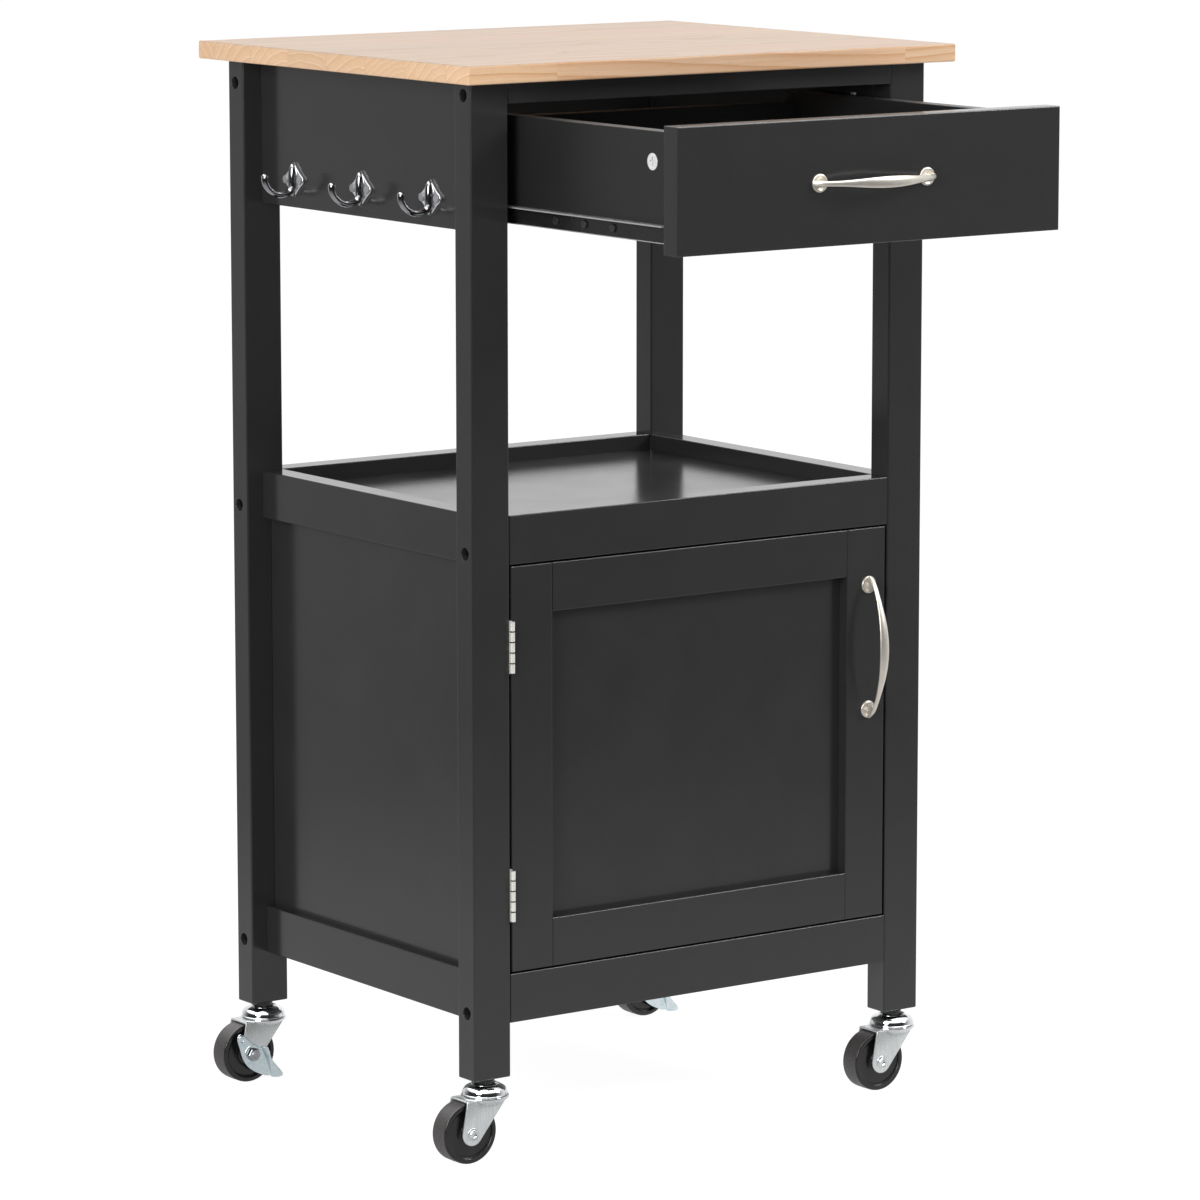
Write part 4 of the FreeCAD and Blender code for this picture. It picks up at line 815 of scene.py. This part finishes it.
# %% Hook
plate_sheet, body_rise, body_half_width, body_half_depth = 2.2, 13.8, 3.75, 4.0
arm_reach, arm_half_width, arm_half_depth, arm_widest = 31, 3.0, 2.3, 1.16
quarter = [(0, 13.8), (2.4, 11.4), (4.8, 9.1), (7.2, 6.85), (9.4, 4.9), (11.2, 3.75), (12.6, 2.75),
           (13.5, 1.5)]
plate = quarter + [(13.85, 0)] + [(wide, -up) for wide, up in quarter[::-1]]
plate += [(-wide, -up) for wide, up in quarter[1:]] + [(-13.85, 0)]
plate += [(-wide, up) for wide, up in quarter[:0:-1]]
plate = stamped("hook_plate", [at(0, wide, up) for wide, up in plate], at(-plate_sheet, 0, 0), 0.6 * mm)
body = [(-0.98, 0.08), (-0.93, 0.3), (-0.86, 0.53), (-0.76, 0.72), (-0.64, 0.85), (-0.5, 0.93), (-0.32, 0.98)]
body = body + [(0, 1)] + [(-up, swell) for up, swell in body[::-1]]
body = drawn_bar("hook_body", [at(-plate_sheet, 0, body_rise * up) for up, _ in body],
                 [body_half_width * swell * mm for _, swell in body],
                 [body_half_depth * swell * mm for _, swell in body], 24)
arm = [(0.1, 0.27, 1.35), (0.135, 0.22, 1.25), (0.17, 0.175, 1.15), (0.24, 0.138, 1.06), (0.33, 0.112, 1.0),
       (0.41, 0.097, 0.97), (0.487, 0.092, 0.95), (0.59, 0.122, 0.93), (0.684, 0.18, 0.92),
       (0.77, 0.25, 0.92), (0.842, 0.337, 0.92), (0.887, 0.425, 0.93), (0.91, 0.518, 0.96),
       (0.912, 0.58, 1.0), (0.905, 0.63, 1.05), (0.9, 0.67, 0.95), (0.895, 0.7, 0.7), (0.893, 0.717, 0.35)]
arm = drawn_bar("hook_arm", [at(-arm_reach * out, 0, 2 * body_rise * up - body_rise) for out, up, _ in arm],
                [arm_half_width * swell * mm for *_, swell in arm],
                [arm_half_depth * swell * min(arm_widest, 1 + out / 6) * mm for out, _, swell in arm], 20)
hook = joined("hook", [finished(plate, bright_plate), finished(body, black_chrome),
                       finished(arm, black_chrome)])
for name, y in (("hook_front", -94), ("hook_middle", 2), ("hook_rear", 98)):
    belongs(placed(hook, name, at(-199, y, 732.8)), None, "carcass", "dark_chrome", "hooks")
    compare(name)
bpy.data.objects.remove(hook)

# %% [markdown]
# ## Castors: cap and stem
#
# Each castor turns on a ball race under a domed cap. The cap is spun from thin sheet and chromed, with
# its rim rolled round. The black collar above it is the foot of the screwed stem, and the groove round it
# is black like the collar. All of it is one section spun about the stem, and the faces of the collar and
# the groove get a second finish.

# %% Cap and stem
dome_inside, dome_reach, dome_foot, dome_rise = 7.9, 9.5, 52.45, 7.0
roll_centre, roll_height, roll_radius = 17.45, 51.65, 0.55
collar_radius, collar_foot = 9.4, 57.5
stems = {"front_left": (-198.25, -159), "front_right": (198.25, -159),
         "rear_left": (-198.25, 159), "rear_right": (198.25, 159)}
section = [(0, 89), (3.6, 89), (4, 88.6), (4, 64), (7.2, 64), (7.6, 63.6), (7.6, 57.9), (9.3, 57.9),
           (9.75, 58.5), (10.2, 59.2), (10.7, 59.4)]
for degrees in range(16, 91, 8):
    turn = math.radians(degrees)
    section.append((dome_inside + dome_reach * math.sin(turn),
                    dome_foot + dome_rise * math.cos(turn) ** 0.8))
for degrees in range(75, -106, -30):
    turn = math.radians(degrees)
    section.append((roll_centre + roll_radius * math.cos(turn),
                    roll_height + roll_radius * math.sin(turn)))
section += [(16.4, 51.15), (5, 51.15), (5, 48.2), (6.8, 48.2), (7, 48.0), (7, 46.6), (6.6, 46.2), (0, 46.2)]
cap = finished(turned("cap", section, origin, Z, 72), chrome, baked_black)
for face in cap.data.polygons:
    if math.hypot(face.center.x, face.center.y) < collar_radius * mm and face.center.z > collar_foot * mm:
        face.material_index = 1
for corner, (x, y) in stems.items():
    belongs(placed(cap, f"caster_cap_{corner}", at(x, y, 0)), None, "carcass", "zinc_plate", "caster_stems")
bpy.data.objects.remove(cap)

# %% [markdown]
# ## Castors: forks
#
# The fork is stamped from 1.5 mm sheet and folded into a channel, so here a channel section is drawn,
# pulled along, and cut with bisecting planes to the outline of the real one: a straight top, and sides
# that taper to a round end about the axle. A raised disc carries the race, and the sides bulge out to
# meet it. The hollow rivet of the axle leaves a bright ring on each side. On the rear forks, which have a
# brake, a nut takes the place of one ring.

# %% Fork channel
heel, nose, axle_x, axle_z, boss = -23.5, 13.5, -19.0, 24.0, 9.0
axle = at(axle_x, 0, axle_z)
outer, inner = 12.0, 10.5  # half the width of the channel
bridge_top, sides_foot, cut_count = 50.0, 14, 15


def touch(corner, side):
    """Where a line from a corner touches the round end about the axle."""
    gap = math.hypot(corner[0] - axle_x, corner[1] - axle_z)
    return math.atan2(corner[1] - axle_z, corner[0] - axle_x) + side * math.acos(boss / gap)


def channel():
    """The folded channel, cut to its outline."""
    fold, sheet = 1.6, 1.5
    right = [(outer, sides_foot), (outer, bridge_top - fold), (outer - fold * 0.29, bridge_top - fold * 0.29),
             (outer - fold, bridge_top)]
    under = [(inner - 0.5, bridge_top - sheet), (inner, bridge_top - sheet - 0.5), (inner, sides_foot)]
    section = [(-y, z) for y, z in right] + right[::-1] + [(y, z) for y, z in under[::-1]]
    section += [(-y, z) for y, z in under]
    tail = axle_x - boss - 1
    piece = drawn_line("fork_channel", [at(tail, y, z) for y, z in section])
    bpy.ops.mesh.edge_face_add()
    pull(at(nose - tail, 0, 0))
    turns = [touch((heel, bridge_top), 1), touch((nose, bridge_top), -1)]
    first, last = turns[0], turns[1] + math.tau
    cuts = [first + (last - first) * step / (cut_count - 1) for step in range(cut_count)]
    for turn in cuts:
        normal = Vector((math.cos(turn), 0, math.sin(turn)))
        pick_all()
        bpy.ops.mesh.bisect(plane_co=axle + normal * boss * mm, plane_no=normal,
                            use_fill=True, clear_outer=True)
    pick_all()
    bpy.ops.mesh.remove_doubles(threshold=hair)
    bpy.ops.mesh.normals_make_consistent(inside=False)
    bpy.ops.mesh.select_mode(type="EDGE")
    bpy.ops.mesh.select_all(action="DESELECT")
    bpy.ops.mesh.edges_select_sharp(sharpness=math.radians(50))
    bpy.ops.mesh.bevel(offset=0.4 * mm, segments=3, affect="EDGES")
    bpy.ops.mesh.select_mode(type="VERT")
    return close_up(piece)


# %% Fork: disc, bulges, rivet and nut
nut_radius, nut_face, nut_height = 5.4, -14.1, 3.6
disc = [(5.1, 48.5), (17.9, 48.5), (18.45, 48.9), (18.6, 49.4), (18.6, 50.2), (18.4, 50.6), (17.9, 50.8),
        (5.1, 50.8), (5.1, 48.5)]
bulge = [(0, 44.0), (12.0, 44.0), (13.6, 44.9), (15.6, 46.6), (17.4, 47.9), (17.9, 48.6), (0, 48.6),
         (0, 44.0)]
rivet = [(0, -0.5), (4.8, -0.5), (4.8, 0.3), (4.55, 0.75), (4.1, 0.9), (3.7, 0.75), (3.45, 0.8), (3.2, 1.3),
         (2.85, 1.7), (2.5, 1.75), (2.25, 1.5), (2.2, 1.0), (2.1, 0.3), (0, 0.3)]


def half_bulge(side):
    """The bulge over one side plate: a turned cone cut off inside the channel."""
    piece = turned("bulge", bulge, origin, Z)
    mode("EDIT")
    pick_all()
    bpy.ops.mesh.bisect(plane_co=at(0, side * inner, 0), plane_no=(0, -side, 0), use_fill=True,
                        clear_outer=True)
    return close_up(piece)


def fork(braked):
    """A fork about its stem, trailing to the left."""
    shells = [finished(channel(), pale_zinc), finished(turned("disc", disc, origin, Z), chrome),
              finished(half_bulge(-1), pale_zinc), finished(half_bulge(1), pale_zinc),
              finished(turned("rivet", rivet, at(axle_x, outer, axle_z), Y), chrome),
              finished(turned("pin", [(0, -11), (3, -11), (3, 11), (0, 11)], axle, Y, 32), chrome)]
    if not braked:
        other = turned("rivet", rivet, at(axle_x, -outer, axle_z), -Y)
        return joined("fork", shells + [finished(other, chrome)])
    turns = [math.radians(turn) for turn in range(0, 360, 60)]
    corners = [at(axle_x + nut_radius * math.cos(turn), nut_face, axle_z + nut_radius * math.sin(turn))
               for turn in turns]
    nut = stamped("nut", corners, at(0, -nut_height, 0), 0.35 * mm)
    end = turned("pin_end", [(0, 10.5), (3, 10.5), (3, 17.4), (2.6, 17.9), (1.6, 17.9), (1.3, 17.3),
                             (0, 17.2)], axle, -Y, 32)
    return joined("fork", shells + [finished(nut, dark_nut), finished(end, dark_nut)])


plain_fork, braked_fork = fork(False), fork(True)
for corner, (x, y) in stems.items():
    model = braked_fork if corner.startswith("rear") else plain_fork
    belongs(placed(model, f"fork_{corner}", at(x, y, 0)), None, f"swivel_{corner}", "zinc_plate",
            f"caster_fork_{corner}")
    compare(f"fork_{corner}")
bpy.data.objects.remove(plain_fork)
bpy.data.objects.remove(braked_fork)

# %% [markdown]
# ## Castors: wheels
#
# The wheels are moulded in one piece: a tread with the hair-thin line that the mould leaves, a small
# shoulder, a narrow raised rim, a recessed side and a hub. The section is spun about the axle. Floors
# scuff the tread, so its faces get a rougher and greyer finish than the glossy sides.

# %% Wheel
tread_radius = 23.75  # faces past it are tread
half = [(3.1, 9.3), (7.4, 9.3), (7.9, 9.0), (8.0, 8.4), (8.2, 7.3), (8.7, 6.95), (10.5, 6.85), (17.6, 6.85),
        (18.8, 6.95), (19.5, 7.3), (19.9, 8.3), (20.2, 8.65), (20.6, 8.75), (22.7, 8.75), (23.2, 8.65),
        (23.6, 8.3), (23.8, 7.8), (23.87, 7.3), (23.9, 6.0), (23.9, 0.4), (23.9, 0.25), (24.0, 0.1)]
section = half + [(radius, -along) for radius, along in half[::-1]] + [half[0]]
wheel = finished(turned("wheel", section, origin, Y, 96), wheel_plastic, worn_tread)
for face in wheel.data.polygons:
    if math.hypot(face.center.x, face.center.z) > tread_radius * mm:
        face.material_index = 1
for corner, (x, y) in stems.items():
    belongs(placed(wheel, f"wheel_{corner}_moulded", at(x + axle_x, y, axle_z)), None, f"wheel_{corner}",
            "black_wheel_plastic", f"caster_wheel_{corner}")
bpy.data.objects.remove(wheel)

# %% [markdown]
# ## Castors: brake levers
#
# A stamped lever sits on each rear axle. Its wing has a small hole with a pressed rim, a round boss
# surrounds the axle, and the edge for the foot is folded outwards and ends in a point.

# %% Brake lever
reach, lever_back, lever_sheet, foot_sheet = 24.0, -12.3, 1.5, 1.3
outline = [(0.87, -0.8), (0.74, -0.825), (0.6, -0.83), (0.46, -0.8), (0.33, -0.74), (0.2, -0.68),
           (0.08, -0.62), (-0.07, -0.52), (-0.2, -0.41), (-0.3, -0.28), (-0.38, -0.14), (-0.44, 0.01),
           (-0.48, 0.17), (-0.52, 0.3), (-0.56, 0.42), (-0.59, 0.53), (-0.59, 0.62), (-0.55, 0.69),
           (-0.5, 0.73), (-0.45, 0.74), (-0.38, 0.7), (-0.31, 0.64), (-0.12, 0.46), (0.08, 0.3), (0.22, 0.25),
           (0.36, 0.17)]


def lever_point(along, up, out):
    """A point of the lever, in its reach along and up from the axle, and millimetres outwards."""
    return at(axle_x + reach * along, lever_back - out, axle_z + reach * up)


def folded_edge():
    """The folded edge: a strip from the fold to the edge for the foot, with the sheet's thickness."""
    fold = [(0.3, 0.2, 0.4), (0.46, 0.03, 0.4), (0.58, -0.2, 0.4), (0.69, -0.45, 0.4), (0.8, -0.78, 0.4)]
    edge = [(0.35, 0.2, 0.7), (0.53, 0.02, 2.6), (0.68, -0.26, 5.0), (0.85, -0.55, 7.6), (1.13, -0.86, 9.5)]
    lines = []
    for spots in (fold, edge):
        lines.append(drawn_line("folded_edge", [lever_point(*spot) for spot in spots]))
        mode("OBJECT")
    piece = joined("folded_edge", lines)
    mode("EDIT")
    bpy.ops.mesh.select_mode(type="EDGE")
    pick_all()
    bpy.ops.mesh.bridge_edge_loops(number_cuts=1)
    bpy.ops.mesh.normals_make_consistent(inside=False)
    bpy.ops.mesh.select_mode(type="VERT")
    mode("OBJECT")
    for kind, settings in (("SUBSURF", {"levels": 2}),
                           ("SOLIDIFY", {"thickness": foot_sheet * mm, "offset": 0}),
                           ("BEVEL", {"width": 0.3 * mm, "segments": 2, "limit_method": "ANGLE",
                                      "angle_limit": math.radians(50)})):
        modifier = piece.modifiers.new(kind, kind)
        for name, value in settings.items():
            setattr(modifier, name, value)
        bpy.ops.object.modifier_apply(modifier=kind)
    mode("EDIT")
    return close_up(piece, 50)


wing_ring = [(1.7, 1.3), (2.0, 1.75), (2.5, 1.9), (3.0, 1.75), (3.3, 1.3), (1.7, 1.3)]
boss_ring = [(3.3, 1.3), (6.3, 1.3), (6.3, 1.72), (6.8, 1.78), (7.4, 1.72), (7.8, 1.3), (3.3, 1.3)]
sheet = stamped("lever_sheet", [lever_point(along, up, 0) for along, up in outline], at(0, -lever_sheet, 0),
                0.4 * mm)
shells = [sheet, folded_edge(), turned("wing_ring", wing_ring, lever_point(-0.42, 0.55, 0), -Y, 32),
          turned("boss", boss_ring, lever_point(0, 0, 0), -Y, 48)]
lever = joined("lever", shells)
for side in ("left", "right"):
    x, y = stems[f"rear_{side}"]
    belongs(placed(lever, f"lever_{side}", at(x, y, 0)), blue_zinc, f"brake_{side}", "zinc_plate",
            f"brake_lever_{side}")
    compare(f"lever_{side}")
bpy.data.objects.remove(lever)

# %% [markdown]
# ## Last things
#
# The colours are shown without any film look.

# %% Finish
bpy.context.scene.view_settings.view_transform = "Standard"
